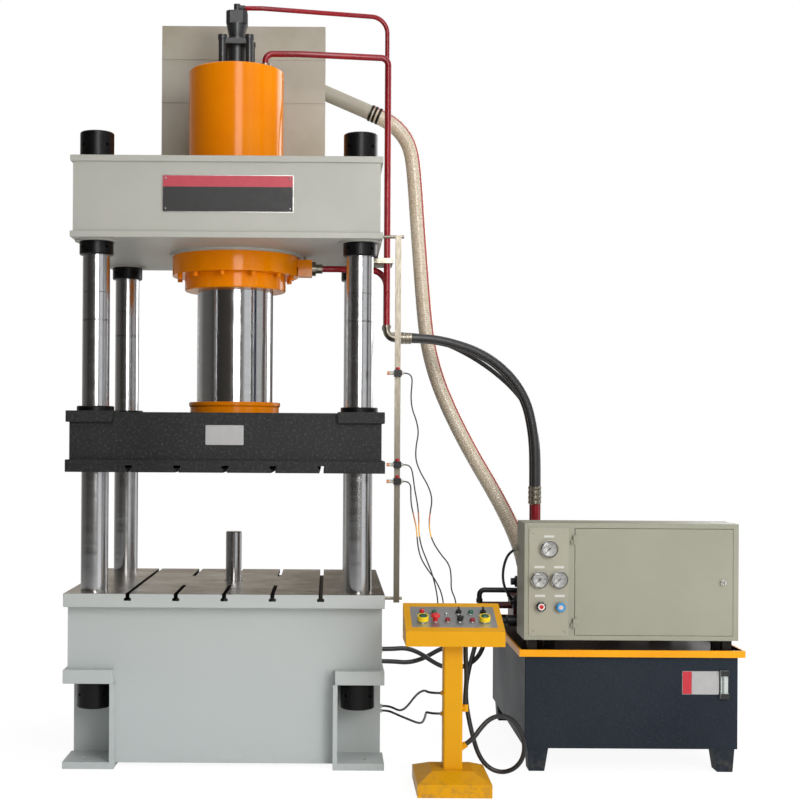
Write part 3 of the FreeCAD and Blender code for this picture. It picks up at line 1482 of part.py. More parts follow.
def foot_shape(left, right, front, back, inset):
    """The foot's skirt and sloping top. The inset shape is its hollow."""
    skirt_top = pedestal_foot_skirt - inset
    plateau = pedestal_foot_plateau / 2 - inset
    middle_x = (left + right) / 2
    skirt = box(left + inset, right - inset, front + inset, back - inset, 0, skirt_top)

    def outline(x0, x1, y0, y1, z):
        corners = [Vector(x0, y0, z), Vector(x1, y0, z), Vector(x1, y1, z), Vector(x0, y1, z)]
        return Part.makePolygon(corners + corners[:1])

    low = outline(left + inset, right - inset, front + inset, back - inset, skirt_top)
    high = outline(middle_x - plateau, middle_x + plateau, post_y - plateau, post_y + plateau,
                   pedestal_foot_top - inset)
    return skirt.fuse(Part.makeLoft([low, high], True, True)).removeSplitter()


controls = {
    "palm_button_left": (-2.5, front_row),
    "emergency_stop": (-1.5, front_row),
    "red_button_left": (-0.5, front_row),
    "cross_switch": (0.5, front_row),
    "red_button_right": (1.5, front_row),
    "palm_button_right": (2.5, front_row),
    "green_button_left": (-1.5, rear_row),
    "selector_middle": (0.5, rear_row),
    "green_button_right": (1.5, rear_row),
    "selector_right": (2.5, rear_row),
}
lamp_places = {"power": (-2.5, rear_row), "ready": (-0.5, rear_row - 6)}


def make_console_panel():
    """The silver panel with its bezels, two palm-button guards and two lamps."""
    panel = sloped_box(console_left + panel_margin_side + fixed_gap,
                       console_right - panel_margin_side - fixed_gap,
                       panel_margin_front + fixed_gap, slope_length - panel_margin_back - fixed_gap,
                       -panel_sheet, 0)
    shapes = [panel]
    holes = []
    for name, (column, along) in controls.items():
        if name.startswith("palm"):
            inside = palm_radius + 1.5
            shapes.append(panel_turned([(inside, 0), (palm_guard_radius, 0),
                                        (palm_guard_radius, palm_guard_height),
                                        (inside, palm_guard_height)], column, along))
        else:
            shapes.append(panel_turned([(hole_radius, 0), (bezel_radius, 0),
                                        (bezel_radius, bezel_height - 1),
                                        (bezel_radius - 1, bezel_height),
                                        (hole_radius, bezel_height)], column, along))
        holes.append(panel_turned([(0, -panel_sheet - 1), (hole_radius, -panel_sheet - 1),
                                   (hole_radius, bezel_height + 1), (0, bezel_height + 1)],
                                  column, along))
    dome, plain = lamp_places["power"], lamp_places["ready"]
    shapes.append(panel_turned([(0, -18), (9, -18), (9, 0), (bezel_radius, 0), (bezel_radius, 3),
                                (10, 4), (10, 12), (7, 17), (0, 19)], *dome))
    shapes.append(panel_turned([(0, -18), (6, -18), (6, 0), (9, 0), (9, 3), (6, 6), (0, 7)],
                               *plain))
    return joined(shapes).cut(holes)


def make_push_button(column, along):
    """A raised round push-button with its plunger."""
    stem = hole_radius - button_gap
    return panel_turned([(0, -control_depth), (stem, -control_depth), (stem, bezel_height + 1),
                         (button_head_radius, bezel_height + 2),
                         (button_head_radius, bezel_height + 8),
                         (button_head_radius - 1.5, bezel_height + 9.5),
                         (0, bezel_height + 9.5)], column, along)


def make_palm_button(column, along):
    """A palm button, level with the rim of its guard."""
    stem = hole_radius - button_gap
    top = palm_guard_height + 3
    return panel_turned([(0, -control_depth), (stem, -control_depth), (stem, 10),
                         (palm_radius, 11), (palm_radius, top - 4), (palm_radius - 3, top - 1),
                         (0, top)], column, along)


def make_emergency_stop(column, along):
    """The red mushroom head on its plunger."""
    stem = hole_radius - button_gap
    return panel_turned([(0, -control_depth), (stem, -control_depth), (stem, 12),
                         (stop_radius - 4, 18), (stop_radius, 22), (stop_radius, 27),
                         (stop_radius - 4, 31), (0, 33)], column, along)


def make_selector(column, along):
    """A selector: a turned base with a raised wing across it."""
    stem = hole_radius - button_gap
    base = panel_turned([(0, -control_depth), (stem, -control_depth), (stem, bezel_height + 0.5),
                         (13, bezel_height + 1), (12, bezel_height + 9), (0, bezel_height + 9)],
                        column, along)
    wing = box(-3.5, 3.5, -13, 13, bezel_height + 4, bezel_height + 22)
    wing.rotate(Vector(0, 0, 0), Vector(1, 0, 0), math.degrees(slope))
    wing.translate(slope_point(column, along))
    return joined([base, wing])


def make_cross_switch(column, along):
    """A selector with a cross-shaped grip."""
    stem = hole_radius - button_gap
    base = panel_turned([(0, -control_depth), (stem, -control_depth), (stem, bezel_height + 0.5),
                         (12, bezel_height + 1), (9, bezel_height + 8), (0, bezel_height + 8)],
                        column, along)
    arms = [box(-3.5, 3.5, -14, 14, bezel_height + 6, bezel_height + 20),
            box(-14, 14, -3.5, 3.5, bezel_height + 6, bezel_height + 20)]
    for arm in arms:
        arm.rotate(Vector(0, 0, 0), Vector(1, 0, 0), math.degrees(slope))
        arm.translate(slope_point(column, along))
    return joined([base] + arms)


# ================================================================ cord routes, chosen by hand
console_gland_z = console_bottom + 89
console_glands = tuple((pedestal_x + x, console_gland_z) for x in (30, -49, -25))
console_drop = (pedestal_x + 54, post_y)
drop_entry_z = 345.0
base_cable_entries = (390.0, 305.0)
loop_gland_root = (pedestal_x + 36, post_y + 18, pedestal_foot_top + 72)
loop_gland_tip = (pedestal_x + 60, post_y + 18, pedestal_foot_top + 90)


def laid(points, start, end):
    """A hand-laid route, carried to these two ends. Its end runs keep their headings."""
    first = Vector(*start) - Vector(*points[0])
    last = Vector(*end) - Vector(*points[-1])
    route = []
    for i, point in enumerate(points):
        share = min(max((i - 1) / (len(points) - 3), 0), 1)
        route.append(tuple(Vector(*point) + first * (1 - share) + last * share))
    return route


large_hose_route = [
    (843, 1925), (900, 1925), (975, 1917), (1060, 1897), (1157, 1864), (1252, 1808), (1338, 1724),
    (1398, 1620), (1424, 1505), (1434, 1410), (1436, 1312), (1436, 1220)]
small_hose_route = [
    (812, 1950), (872, 1950), (965, 1928), (1068, 1886), (1168, 1832), (1262, 1766), (1347, 1690),
    (1410, 1608), (1450, 1518), (1467, 1422), (1471, 1320), (1471, 1220)]
return_hose_route = [
    (660, 424, 3100), (751, 424, 3061), (823, 422, 2993), (866, 416, 2904), (882, 404, 2740),
    (894, 388, 2550), (908, 368, 2350), (920, 348, 2180), (932, 328, 2030), (950, 312, 1895),
    (988, 298, 1750), (1045, 286, 1608), (1115, 274, 1464), (1192, 262, 1324), (1273, 250, 1187),
    (1343, 238, 1054), (1398, 230, 925), (1430, 226, 805), (1440, 224, 700), (1440, 224, 600)]
upper_ejector_route = [
    (712, 0, 440), (758, 0, 440), (826, 0, 446), (892, 0, 423), (948, 0, 384), (1003, 0, 355),
    (1065, 0, 349), (1124, 0, 366), (1170, 0, 402), (1196, 0, 453), (1204, 0, 506),
    (1205, 0, 550), (1205, 0, 592)]
lower_ejector_route = [
    (712, 60, 372), (764, 60, 372), (840, 60, 365), (915, 60, 386), (985, 60, 428),
    (1048, 60, 452), (1102, 60, 468), (1141, 60, 495), (1164, 60, 529), (1172, 60, 562),
    (1172, 60, 592)]
console_loop_route = [
    (1030, -862, 176), (1062, -862, 200), (1090, -852, 238), (1128, -836, 274),
    (1176, -818, 288), (1222, -800, 272), (1258, -782, 232), (1282, -766, 182),
    (1290, -752, 128), (1278, -740, 76), (1244, -728, 38), (1200, -716, 23), (1156, -704, 32),
    (1120, -694, 62), (1096, -684, 105), (1080, -670, 158), (1066, -652, 220), (1054, -628, 290), (1054, -590, 358),
    (1070, -538, 422), (1094, -470, 480), (1118, -392, 526), (1136, -312, 560),
    (1150, -242, 580), (1156, -198, 612), (1156, -180, 650), (1156, -180, 686)]
console_drop_route = [
    (1024, -880, 585), (1024, -880, 545), (1027, -881, 500), (1029, -880, 455),
    (1027, -880, 410), (1024, -880, 375), (1024, -880, 345)]
high_sensor_route = [
    (776, -586, 1730), (792, -586, 1730), (806, -587, 1722), (813, -589, 1707),
    (812, -594, 1678), (807, -603, 1630), (811, -614, 1575), (832, -624, 1520),
    (840, -634, 1468), (828, -643, 1414), (826, -652, 1352), (848, -661, 1296),
    (880, -669, 1244), (898, -677, 1186), (888, -684, 1130), (882, -690, 1070),
    (896, -694, 1008), (932, -697, 952), (972, -699, 906), (979, -700, 852), (978, -699, 800),
    (996, -698, 762), (1000, -698, 734), (1000, -698, 709.5), (1000, -705, 696),
    (1000, -719, 688), (1000, -734, 688)]
middle_sensor_route = [
    (776, -586, 1331), (792, -586, 1331), (807, -587, 1323), (815, -590, 1306),
    (820, -597, 1274), (826, -608, 1222), (837, -620, 1166), (843, -632, 1104),
    (842, -648, 1044), (850, -664, 986), (872, -680, 930), (896, -690, 872), (912, -697, 812),
    (921, -698, 760), (922, -698, 730), (921, -698, 707), (921, -706, 694), (921, -720, 688),
    (921, -734, 688)]
low_sensor_route = [
    (776, -586, 1258), (791, -586, 1258), (804, -588, 1250), (810, -592, 1235),
    (809, -602, 1206), (810, -620, 1160), (820, -642, 1112), (832, -662, 1058),
    (834, -680, 1000), (844, -696, 942), (872, -706, 892), (906, -709, 848), (932, -706, 800),
    (944, -699, 756), (946, -698, 730), (945, -698, 707), (945, -706, 694), (945, -720, 688),
    (945, -734, 688)]
high_base_route = [
    (702, -300, 225), (728, -300, 225), (754, -318, 219), (776, -362, 216), (794, -428, 234),
    (812, -508, 272), (828, -592, 316), (842, -676, 352), (856, -752, 376), (865, -812, 387),
    (866, -847, 390), (877, -868, 390), (898, -880, 390), (922, -880, 390)]
low_base_route = [
    (702, -270, 198), (730, -270, 198), (758, -290, 190), (786, -340, 186), (812, -420, 190),
    (834, -506, 196), (852, -592, 206), (862, -672, 226), (866, -750, 262), (866, -808, 292),
    (866, -846, 304), (877, -868, 305), (898, -880, 305), (922, -880, 305)]


valve_cable_route = laid([
    (1290, -376, 946), (1277, -372, 937), (1262, -362, 918), (1252, -346, 887),
    (1247, -328, 850), (1248, -312, 812), (1255, -299, 780), (1266, -287, 754),
    (1279, -275, 733)],
    (cabinet_left - 16, cabinet_back - 11, cabinet_top - 135),
    (stack_left - 146, valve_y - 20, header_top + 33))
valve_socket_root = (stack_left - 127.8, valve_y - 3.2, header_top + 3.6)


def make_cords():
    """Every hose and cable, by node."""
    cords = {}
    large = []
    for y in (front_pipe_y, rear_pipe_y):
        route = laid([(x, y, z) for x, z in large_hose_route],
                     (large_crimp_end, y, hose_start_z), (riser_x, y, riser_crimp_top))
        large.append(tube_along("pressure_hose_large", route, large_hose_radius))
    cords["pressure_hose_large"] = Part.makeCompound(large)
    y = pilot_pipe_y
    route = laid([(x, y, z) for x, z in small_hose_route],
                 (small_crimp_end, y, small_hose_start_z), (small_riser_x, y, riser_crimp_top))
    cords["pressure_hose_small"] = tube_along("pressure_hose_small", route, small_hose_radius)
    route = laid(return_hose_route, (outlet_end_x, outlet_y, outlet_end_z),
                 (return_stub_x, return_stub_y, return_stub_top))
    cords["return_hose"] = tube_along("return_hose", route, return_hose_radius)
    ejector = []
    for route, port, elbow in ((upper_ejector_route, ejector_ports[0], upper_elbow),
                               (lower_ejector_route, ejector_ports[1], lower_elbow)):
        route = laid(route, (port_boss_reach, *port), (*elbow, elbow_socket_bottom))
        ejector.append(tube_along("ejector_hoses", route, ejector_hose_radius))
    cords["ejector_hoses"] = Part.makeCompound(ejector)
    loop = laid(console_loop_route, loop_gland_tip, (*cable_elbow, cable_socket_bottom))
    drop = laid(console_drop_route, (*console_drop, console_bottom - 14),
                (*console_drop, drop_entry_z))
    cords["console_cable"] = Part.makeCompound([
        tube_along("console_cable loop", loop, console_cable_radius),
        tube_along("console_cable drop", drop, console_cable_radius)])
    sensor = []
    for route, height, (x, z) in zip((high_sensor_route, middle_sensor_route, low_sensor_route),
                                     switch_heights, console_glands):
        route = laid(route, (switch_end_x, switch_y, height), (x, console_back + 10, z))
        sensor.append(tube_along("sensor_cables", route, sensor_cable_radius))
    cords["sensor_cables"] = Part.makeCompound(sensor)
    base = []
    for route, exit, entry in zip((high_base_route, low_base_route), base_cable_exits,
                                  base_cable_entries):
        route = laid(route, (cable_gland_reach, *exit),
                     (pedestal_x - post_side / 2 - 8, post_y, entry))
        base.append(tube_along("base_cable", route, base_cable_radius))
    cords["base_cable"] = Part.makeCompound(base)
    cords["valve_cable"] = tube_along("valve_cable", valve_cable_route, valve_cable_radius)
    return cords


# ================================================================ build
def build():
    nodes = {
        "base_frame": make_base(),
        "table_plate": make_table_plate(),
        "corner_mounts": make_corner_mounts(),
        "crown_beam": make_crown(),
        "columns": make_columns(),
        "column_nuts": make_column_nuts(),
        "cylinder_barrel": make_barrel(),
        "cylinder_gland": make_gland(),
        "gland_screws": make_gland_screws(),
        "gland_seals": make_gland_seals(),
        "ram": make_ram(),
        "piston_seals": make_piston_seals(),
        "ram_flange": make_ram_flange(),
        "slide_beam": make_slide(),
        "guide_bushes": make_bushes(),
        "ejector_cylinder": make_ejector_cylinder(),
        "ejector_rod": make_ejector_rod(),
        "filling_valve": make_filling_valve(),
        "filling_tank": make_filling_tank(),
        "steel_pipes": make_steel_pipes(),
        "pipe_fittings": make_pipe_fittings(),
        "switch_bar": make_switch_bar(),
        "proximity_switches": make_switches(),
        "oil_tank": make_oil_tank(),
        "drip_tray": make_drip_tray(),
        "cabinet": make_cabinet(),
        "cabinet_door": make_door(),
        "door_lock": make_door_lock(),
        "gauge_panel": make_gauge_panel(),
        "pressure_gauges": make_gauge_cases(),
        "level_gauge": make_level_gauge(),
        "pump_motor": make_motor(),
        "motor_rotor": make_rotor(),
        "gear_pump": make_pump(),
        "valve_manifold": make_manifold(),
        "control_pedestal": make_pedestal(),
        "console_panel": make_console_panel(),
    }
    for name, place in gauge_places.items():
        nodes["gauge_pointer_" + name] = make_pointer(*place)
    for name, place in knob_places.items():
        nodes["valve_knob_" + name] = make_knob(*place)
    makers = {"palm": make_palm_button, "emergency": make_emergency_stop,
              "red": make_push_button, "green": make_push_button,
              "selector": make_selector, "cross": make_cross_switch}
    for name, place in controls.items():
        nodes[name] = makers[name.split("_")[0]](*place)
    nodes.update(make_cords())
    return nodes


for node, shape in build().items():
    solids = shape.Solids
    if not shape.isValid():
        print(f"{node}: not valid")
    print(f"{node}: {len(solids)} solid(s), {shape.Volume / 1e6:.3f} litres")
    shape.exportStep(f"parts/{node}.step")
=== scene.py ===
"""Looks of a four-column hydraulic press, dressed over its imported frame."""

import math
from functools import partial

import bpy
from bpy.props import FloatProperty, FloatVectorProperty, IntProperty, PointerProperty
from mathutils import Matrix, Vector


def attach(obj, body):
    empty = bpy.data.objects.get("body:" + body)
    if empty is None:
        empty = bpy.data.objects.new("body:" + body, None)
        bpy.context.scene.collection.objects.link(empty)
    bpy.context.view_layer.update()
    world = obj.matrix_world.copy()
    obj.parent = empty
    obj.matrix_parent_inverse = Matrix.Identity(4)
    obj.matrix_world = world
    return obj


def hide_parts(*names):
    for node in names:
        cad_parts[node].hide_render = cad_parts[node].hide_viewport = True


bl_info = {
    "name": "Hydraulic press",
    "version": (1, 0, 0),
    "blender": (4, 5, 0),
    "location": "3D View > Sidebar > Press",
    "description": "Finishes, cords, plates and dials of a four-column hydraulic press",
    "category": "Add Mesh",
}

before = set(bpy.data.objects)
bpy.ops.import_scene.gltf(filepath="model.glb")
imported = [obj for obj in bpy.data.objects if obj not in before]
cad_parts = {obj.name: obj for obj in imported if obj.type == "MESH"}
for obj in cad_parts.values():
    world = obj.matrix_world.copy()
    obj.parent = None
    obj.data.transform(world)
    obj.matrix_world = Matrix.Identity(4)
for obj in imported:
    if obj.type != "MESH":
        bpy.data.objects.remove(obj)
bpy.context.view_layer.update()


# ---------------------------------------------------------------- small helpers
def linear(hex_colour):
    """An sRGB hex colour as linear RGBA."""
    parts = [int(hex_colour[i:i + 2], 16) / 255 for i in (1, 3, 5)]
    return (*[c / 12.92 if c <= 0.04045 else ((c + 0.055) / 1.055) ** 2.4 for c in parts], 1.0)


def wire(node, inputs):
    """Sets a node's inputs. A socket is linked, and so is a node, by its first output or, for a
    Mix node, by the one that holds its colour."""
    mixed_colour = 2
    for name, value in inputs.items():
        if isinstance(value, bpy.types.Node):
            value = value.outputs[mixed_colour if value.bl_idname == "ShaderNodeMix" else 0]
        if isinstance(value, bpy.types.NodeSocket):
            node.id_data.links.new(value, node.inputs[name])
        else:
            node.inputs[name].default_value = value
    return node


def add_node(tree, kind, inputs=None, **settings):
    """Adds a shader node with its settings and links. Every Mix node here mixes colours."""
    node = tree.nodes.new("ShaderNode" + kind)
    if kind == "Mix":
        node.data_type = "RGBA"
    for name, value in settings.items():
        setattr(node, name, value)
    return wire(node, inputs or {})


def start_material(name, **plain):
    """A material, the adder of its nodes, and its Principled shader with its plain values."""
    material = bpy.data.materials.new(name)
    material.use_nodes = True
    material.node_tree.nodes.clear()
    add = partial(add_node, material.node_tree)
    shader = add("BsdfPrincipled", {key.replace("_", " "): value for key, value in plain.items()})
    add("OutputMaterial", {"Surface": shader})
    return material, add, shader


def reopen(material):
    """A finish to build on: its adder, its shader, its colour so far and the coordinates."""
    tree = material.node_tree
    shader = tree.nodes["Principled BSDF"]
    return (partial(add_node, tree), shader, shader.inputs["Base Color"].links[0].from_socket,
            tree.nodes["Texture Coordinate"].outputs["Object"])


def set_surface(material, node):
    wire(material.node_tree.nodes["Material Output"], {"Surface": node})


def set_stops(ramp_node, stops, steps=False):
    """Gives a colour ramp its stops, from low to high, with hard steps if asked."""
    ramp = ramp_node.color_ramp
    if steps:
        ramp.interpolation = "CONSTANT"
    for i, (position, colour) in enumerate(stops):
        stop = ramp.elements[i] if i < 2 else ramp.elements.new(position)
        stop.position, stop.color = position, colour


def near_any(add, value, spots):
    """A mask that is 1 near one of the spots, each given as its middle and half its width."""
    mask = None
    for middle, half in spots:
        near = add("Math", {0: value, 1: middle, 2: half}, operation="COMPARE")
        mask = near if mask is None else add("Math", {0: mask, 1: near}, operation="MAXIMUM")
    return mask


def all_of(add, mask, *others):
    """A mask that is 1 where all of them are."""
    for other in others:
        mask = add("Math", {0: mask, 1: other}, operation="MULTIPLY")
    return mask


def paints():
    return bpy.context.scene.press_paints


def finish_node(material, *names):
    """Gives CAD nodes their finish, through their objects' material slots."""
    for name in names:
        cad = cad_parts[name]
        while len(cad.data.materials) < 1:
            cad.data.materials.append(None)
        for slot in cad.material_slots:
            slot.link = "OBJECT"
            slot.material = material


def deselect():
    if bpy.context.object and bpy.context.object.mode != "OBJECT":
        bpy.ops.object.mode_set(mode="OBJECT")
    bpy.ops.object.select_all(action="DESELECT")


def pick(obj, test):
    """Leaves obj in edit mode with the faces that pass the test selected."""
    bpy.ops.object.mode_set(mode="EDIT")
    bpy.ops.mesh.select_mode(type="FACE")
    bpy.ops.mesh.select_all(action="DESELECT")
    bpy.ops.object.mode_set(mode="OBJECT")
    for face in obj.data.polygons:
        face.select = test(face)
    bpy.ops.object.mode_set(mode="EDIT")


def settle(obj, name, body, slot, *materials, smooth=30):
    """Ends a piece: place applied, named, smoothed by angle, painted, and riding on its body."""
    if bpy.context.object.mode != "OBJECT":
        bpy.ops.object.mode_set(mode="OBJECT")
    deselect()
    obj.select_set(True)
    bpy.context.view_layer.objects.active = obj
    bpy.ops.object.transform_apply(location=True, rotation=True, scale=True)
    if smooth:
        bpy.ops.object.shade_smooth_by_angle(angle=math.radians(smooth))
    obj.name = obj.data.name = name
    while len(obj.data.materials) < len(materials):
        obj.data.materials.append(None)
    for i, material in enumerate(materials):
        obj.data.materials[i] = material
    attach(obj, body)
    return obj


def join(pieces):
    """Several meshes as one."""
    deselect()
    for piece in pieces:
        piece.select_set(True)
    bpy.context.view_layer.objects.active = pieces[0]
    bpy.ops.object.join()
    return pieces[0]


# ---------------------------------------------------------------- finishes
def sprayed_enamel(name, body, shade, roughness=0.35, coat=0.2, patch=1.3, peel=0.5,
                   fleck=None, fleck_share=0.35, grime=0.0, sheen=0.5):
    """Enamel sprayed on primed steel: even, with orange peel of about 4 mm, slow clouds of tone,
    and a little grime near the floor."""
    material, add, shader = start_material(name, Roughness=roughness, Coat_Weight=coat,
                                           Coat_Roughness=0.12, Specular_IOR_Level=sheen)
    coords = add("TexCoord").outputs["Object"]
    cloud = add("TexNoise", {"Vector": coords, "Scale": patch, "Detail": 5.0, "Roughness": 0.6})
    even = add("MapRange", {"Value": cloud, "From Min": 0.35, "From Max": 0.65})
    tone = add("Mix", {0: even, 6: body, 7: shade})
    if fleck:
        spots = add("TexNoise", {"Vector": coords, "Scale": 85.0, "Detail": 4.0,
                                 "Roughness": 0.7})
        share = add("MapRange", {"Value": spots, "From Min": 0.52, "From Max": 0.72,
                                 "To Max": fleck_share})
        tone = add("Mix", {0: share, 6: tone, 7: fleck})
    if grime:
        height = add("SeparateXYZ", {0: coords}).outputs[2]
        low = add("MapRange", {"Value": height, "From Min": 0.0, "From Max": 0.11,
                               "To Min": 1.0, "To Max": 0.0})
        scuff = add("TexNoise", {"Vector": coords, "Scale": 28.0, "Detail": 8.0,
                                 "Roughness": 0.7})
        worn = add("MapRange", {"Value": scuff, "From Min": 0.48, "From Max": 0.66,
                                "To Max": grime})
        tone = add("Mix", {0: all_of(add, low, worn), 6: tone, 7: linear("#5a5348")})
    gloss = add("MapRange", {"Value": cloud, "From Min": 0.3, "From Max": 0.7,
                             "To Min": roughness - 0.05, "To Max": roughness + 0.07})
    grain = add("TexNoise", {"Vector": coords, "Scale": 230.0, "Detail": 3.0})
    skin = add("Bump", {"Height": grain, "Strength": peel, "Distance": 0.0006})
    wire(shader, {"Base Color": tone, "Roughness": gloss, "Normal": skin})
    return material


def bare_metal(name, colour, roughness, second, scale=40.0, stretch=(1.0, 1.0, 1.0), bump=0.15,
               spread=0.08, metallic=1.0):
    """Bare or plated metal: its tone and gloss vary with the marks of how it was made."""
    material, add, shader = start_material(name, Metallic=metallic, Roughness=roughness)
    coords = add("TexCoord").outputs["Object"]
    drawn = add("Mapping", {"Vector": coords, "Scale": stretch})
    marks = add("TexNoise", {"Vector": drawn, "Scale": scale, "Detail": 6.0, "Roughness": 0.6})
    gloss = add("MapRange", {"Value": marks, "From Min": 0.3, "From Max": 0.7,
                             "To Min": roughness - spread / 2, "To Max": roughness + spread})
    skin = add("Bump", {"Height": marks, "Strength": bump, "Distance": 0.0004})
    wire(shader, {"Base Color": add("Mix", {0: marks, 6: colour, 7: second}),
                  "Roughness": gloss, "Normal": skin})
    return material


def moulded(name, colour, roughness=0.35, coat=0.0):
    """Moulded plastic or rubber: one colour through and through, with a fine spark-eroded grain
    and slightly uneven gloss."""
    material, add, shader = start_material(name, Roughness=roughness, Coat_Weight=coat)
    coords = add("TexCoord").outputs["Object"]
    speck = add("TexNoise", {"Vector": coords, "Scale": 900.0, "Detail": 2.0})
    smear = add("TexNoise", {"Vector": coords, "Scale": 35.0, "Detail": 4.0})
    dull = tuple(c * 0.82 for c in colour[:3]) + (1.0,)
    gloss = add("MapRange", {"Value": smear, "To Min": roughness - 0.08,
                             "To Max": roughness + 0.12})
    skin = add("Bump", {"Height": speck, "Strength": 0.1, "Distance": 0.0003})
    wire(shader, {"Base Color": add("Mix", {0: smear, 6: colour, 7: dull}),
                  "Roughness": gloss, "Normal": skin})
    return material


def eroded_skin(add, coords, scale):
    """The fine grain of a moulding, as a bump."""
    speck = add("TexNoise", {"Vector": coords, "Scale": scale})
    return add("Bump", {"Height": speck, "Strength": 0.1, "Distance": 0.0003})


def frame_enamel(machined_table):
    """The frame's warm light grey, which cools towards the floor. The table's top is bare milled
    steel under an oil film, and its T-slots are darkened inside with painted shade."""
    name = "frame_enamel_and_milled_steel" if machined_table else "frame_enamel"
    material = sprayed_enamel(name, paints().frame_grey, linear("#aaaaa2"), 0.38, 0.0,
                              grime=0.0 if machined_table else 0.75, sheen=0.18)
    add, shader, painted, coords = reopen(material)
    x, y, z = add("SeparateXYZ", {0: coords}).outputs
    cool = add("MapRange", {"Value": z, "From Min": 0.25, "From Max": 2.3, "To Min": 0.85,
                            "To Max": 0.0})
    wire(shader, {"Base Color": add("Mix", {0: cool, 6: painted, 7: linear("#bcc3c3")})})
    if not machined_table:
        return material
    stretch = add("Mapping", {"Vector": coords, "Scale": (4.0, 22.0, 1.0)})
    ripple = add("TexNoise", {"Vector": stretch, "Scale": 1.6, "Detail": 3.0, "Distortion": 1.2})
    oil = add("TexNoise", {"Vector": coords, "Scale": 4.5, "Detail": 6.0, "Roughness": 0.65})
    steel = add("ValToRGB", {0: oil})
    set_stops(steel, ((0.34, linear("#6b5438")), (0.66, linear("#b7b3ac"))))
    cuts = add("TexWave", {"Vector": coords, "Scale": 95.0, "Distortion": 1.5, "Detail": 2.0},
               bands_direction="Y")
    marks = add("Bump", {"Height": cuts.outputs["Fac"], "Strength": 0.08, "Distance": 0.0003})
    waves = add("Bump", {"Height": ripple, "Strength": 0.85, "Distance": 0.008, "Normal": marks})
    metal = add("BsdfPrincipled", {"Base Color": steel, "Metallic": 0.8, "Roughness": 0.24,
                                   "Normal": waves})
    # Painted shade: a dark metal on the T-slots' walls, where the recess is shaded.
    slot_shade = add("BsdfPrincipled", {"Base Color": linear("#2b2724"), "Metallic": 1.0,
                                       "Roughness": 0.5})
    milled_from, slot_floor, front_edge, half_slot = 0.7625, 0.7315, 0.5997, 0.0162
    side = add("Math", {0: x}, operation="ABSOLUTE")
    across = add("Math", {0: y}, operation="ABSOLUTE")
    on_top = add("Math", {0: z, 1: milled_from}, operation="GREATER_THAN")
    slots = near_any(add, side, [(slot, half_slot) for slot in (0.0, 0.21, 0.42)])
    # The table's two sides, level with the slots, take half of this painted shade.
    side_shade = 0.5
    walls = all_of(add, add("Math", {0: slots, 1: side_shade}, operation="MAXIMUM"),
                   add("Math", {0: z, 1: slot_floor}, operation="GREATER_THAN"),
                   add("Math", {0: across, 1: front_edge}, operation="LESS_THAN"))
    grooved = add("MixShader", {0: walls, 1: shader, 2: slot_shade})
    set_surface(material, add("MixShader", {0: on_top, 1: grooved, 2: metal}))
    return material


# ---------------------------------------------------------------- sizes and colours to change
def paint(name, hex_colour, description):
    """A colour to change, on the add-on's panel."""
    return FloatVectorProperty(name=name, subtype="COLOR", size=4, min=0, max=1,
                               default=linear(hex_colour), description=description)


class PressPaints(bpy.types.PropertyGroup):
    frame_grey: paint("Frame grey", "#b4b2a9", "Enamel on the base, the table and the crown")
    beam_charcoal: paint("Beam charcoal", "#1f1f20", "Enamel on the moving beam")
    cylinder_orange: paint("Cylinder orange", "#f08c00", "Gloss enamel on the main cylinder")
    pipe_red: paint("Pipe red", "#98101f", "Enamel on the steel pipes")
    tank_blue: paint("Tank blue-grey", "#1c232c", "Enamel on the oil tank")
    pedestal_yellow: paint("Pedestal yellow", "#dc9c00", "Enamel on the pedestal")
    cabinet_grey: paint("Cabinet grey", "#999888", "Enamel on the switch cabinet")


class PressPlates(bpy.types.PropertyGroup):
    nameplate_width: FloatProperty(name="Nameplate width", default=0.575, min=0.2, max=1.0,
                                   unit="LENGTH", description="Width of the crown's blank plate")
    nameplate_height: FloatProperty(name="Nameplate height", default=0.164, min=0.05, max=0.3,
                                    unit="LENGTH", description="Height of the crown's blank plate")
    dial_marks: IntProperty(name="Dial marks", default=50, min=10, max=100,
                            description="Divisions on each pressure gauge's dial")


class PressStudio(bpy.types.PropertyGroup):
    focal_length: FloatProperty(name="Focal length", default=62.7, min=20, max=200,
                                subtype="DISTANCE_CAMERA", description="Camera's focal length")
    fill: FloatProperty(name="Fill", default=0.37, min=0, max=3,
                        description="Mean strength of the light from all round")
    lean: FloatProperty(name="Lean", default=0.47, min=0, max=3,
                        description="How much more of it comes from the right and from above")
    key: FloatProperty(name="Key", default=205.0, min=0, max=2000, unit="POWER",
                       description="Power of the soft lamp at the front right")


# ---------------------------------------------------------------- cords
def lay_cord(name, points, diameter, node, material):
    """A hose or cable: one smooth spline whose control points are the route's points."""
    curve = bpy.data.curves.new(name, "CURVE")
    curve.dimensions = "3D"
    spline = curve.splines.new("NURBS")
    spline.points.add(len(points) - 1)
    for control, point in zip(spline.points, points):
        control.co = (*point, 1.0)
    spline.order_u = 3
    spline.use_endpoint_u = True
    spline.resolution_u = 6
    spline.use_smooth = True
    curve.bevel_depth = diameter / 2
    curve.bevel_resolution = 5
    curve.use_fill_caps = True
    curve.materials.append(material)
    cord = bpy.data.objects.new(name, curve)
    bpy.context.scene.collection.objects.link(cord)
    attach(cord, "press")
    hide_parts(node)
    return cord


def extruded_rubber(name, colour, roughness):
    """Rubber or PVC sheath, extruded and smooth, with the faint wrap marks of its curing."""
    material, add, shader = start_material(name, Roughness=roughness)
    coords = add("TexCoord").outputs["Object"]
    smear = add("TexNoise", {"Vector": coords, "Scale": 24.0, "Detail": 5.0})
    dusty = tuple(min(1.0, c * 1.5 + 0.006) for c in colour[:3]) + (1.0,)
    speck = add("TexNoise", {"Vector": coords, "Scale": 420.0, "Detail": 3.0})
    wire(shader, {"Base Color": add("Mix", {0: smear, 6: colour, 7: dusty}),
                  "Normal": add("Bump", {"Height": speck, "Strength": 0.2, "Distance": 0.0005})})
    return material


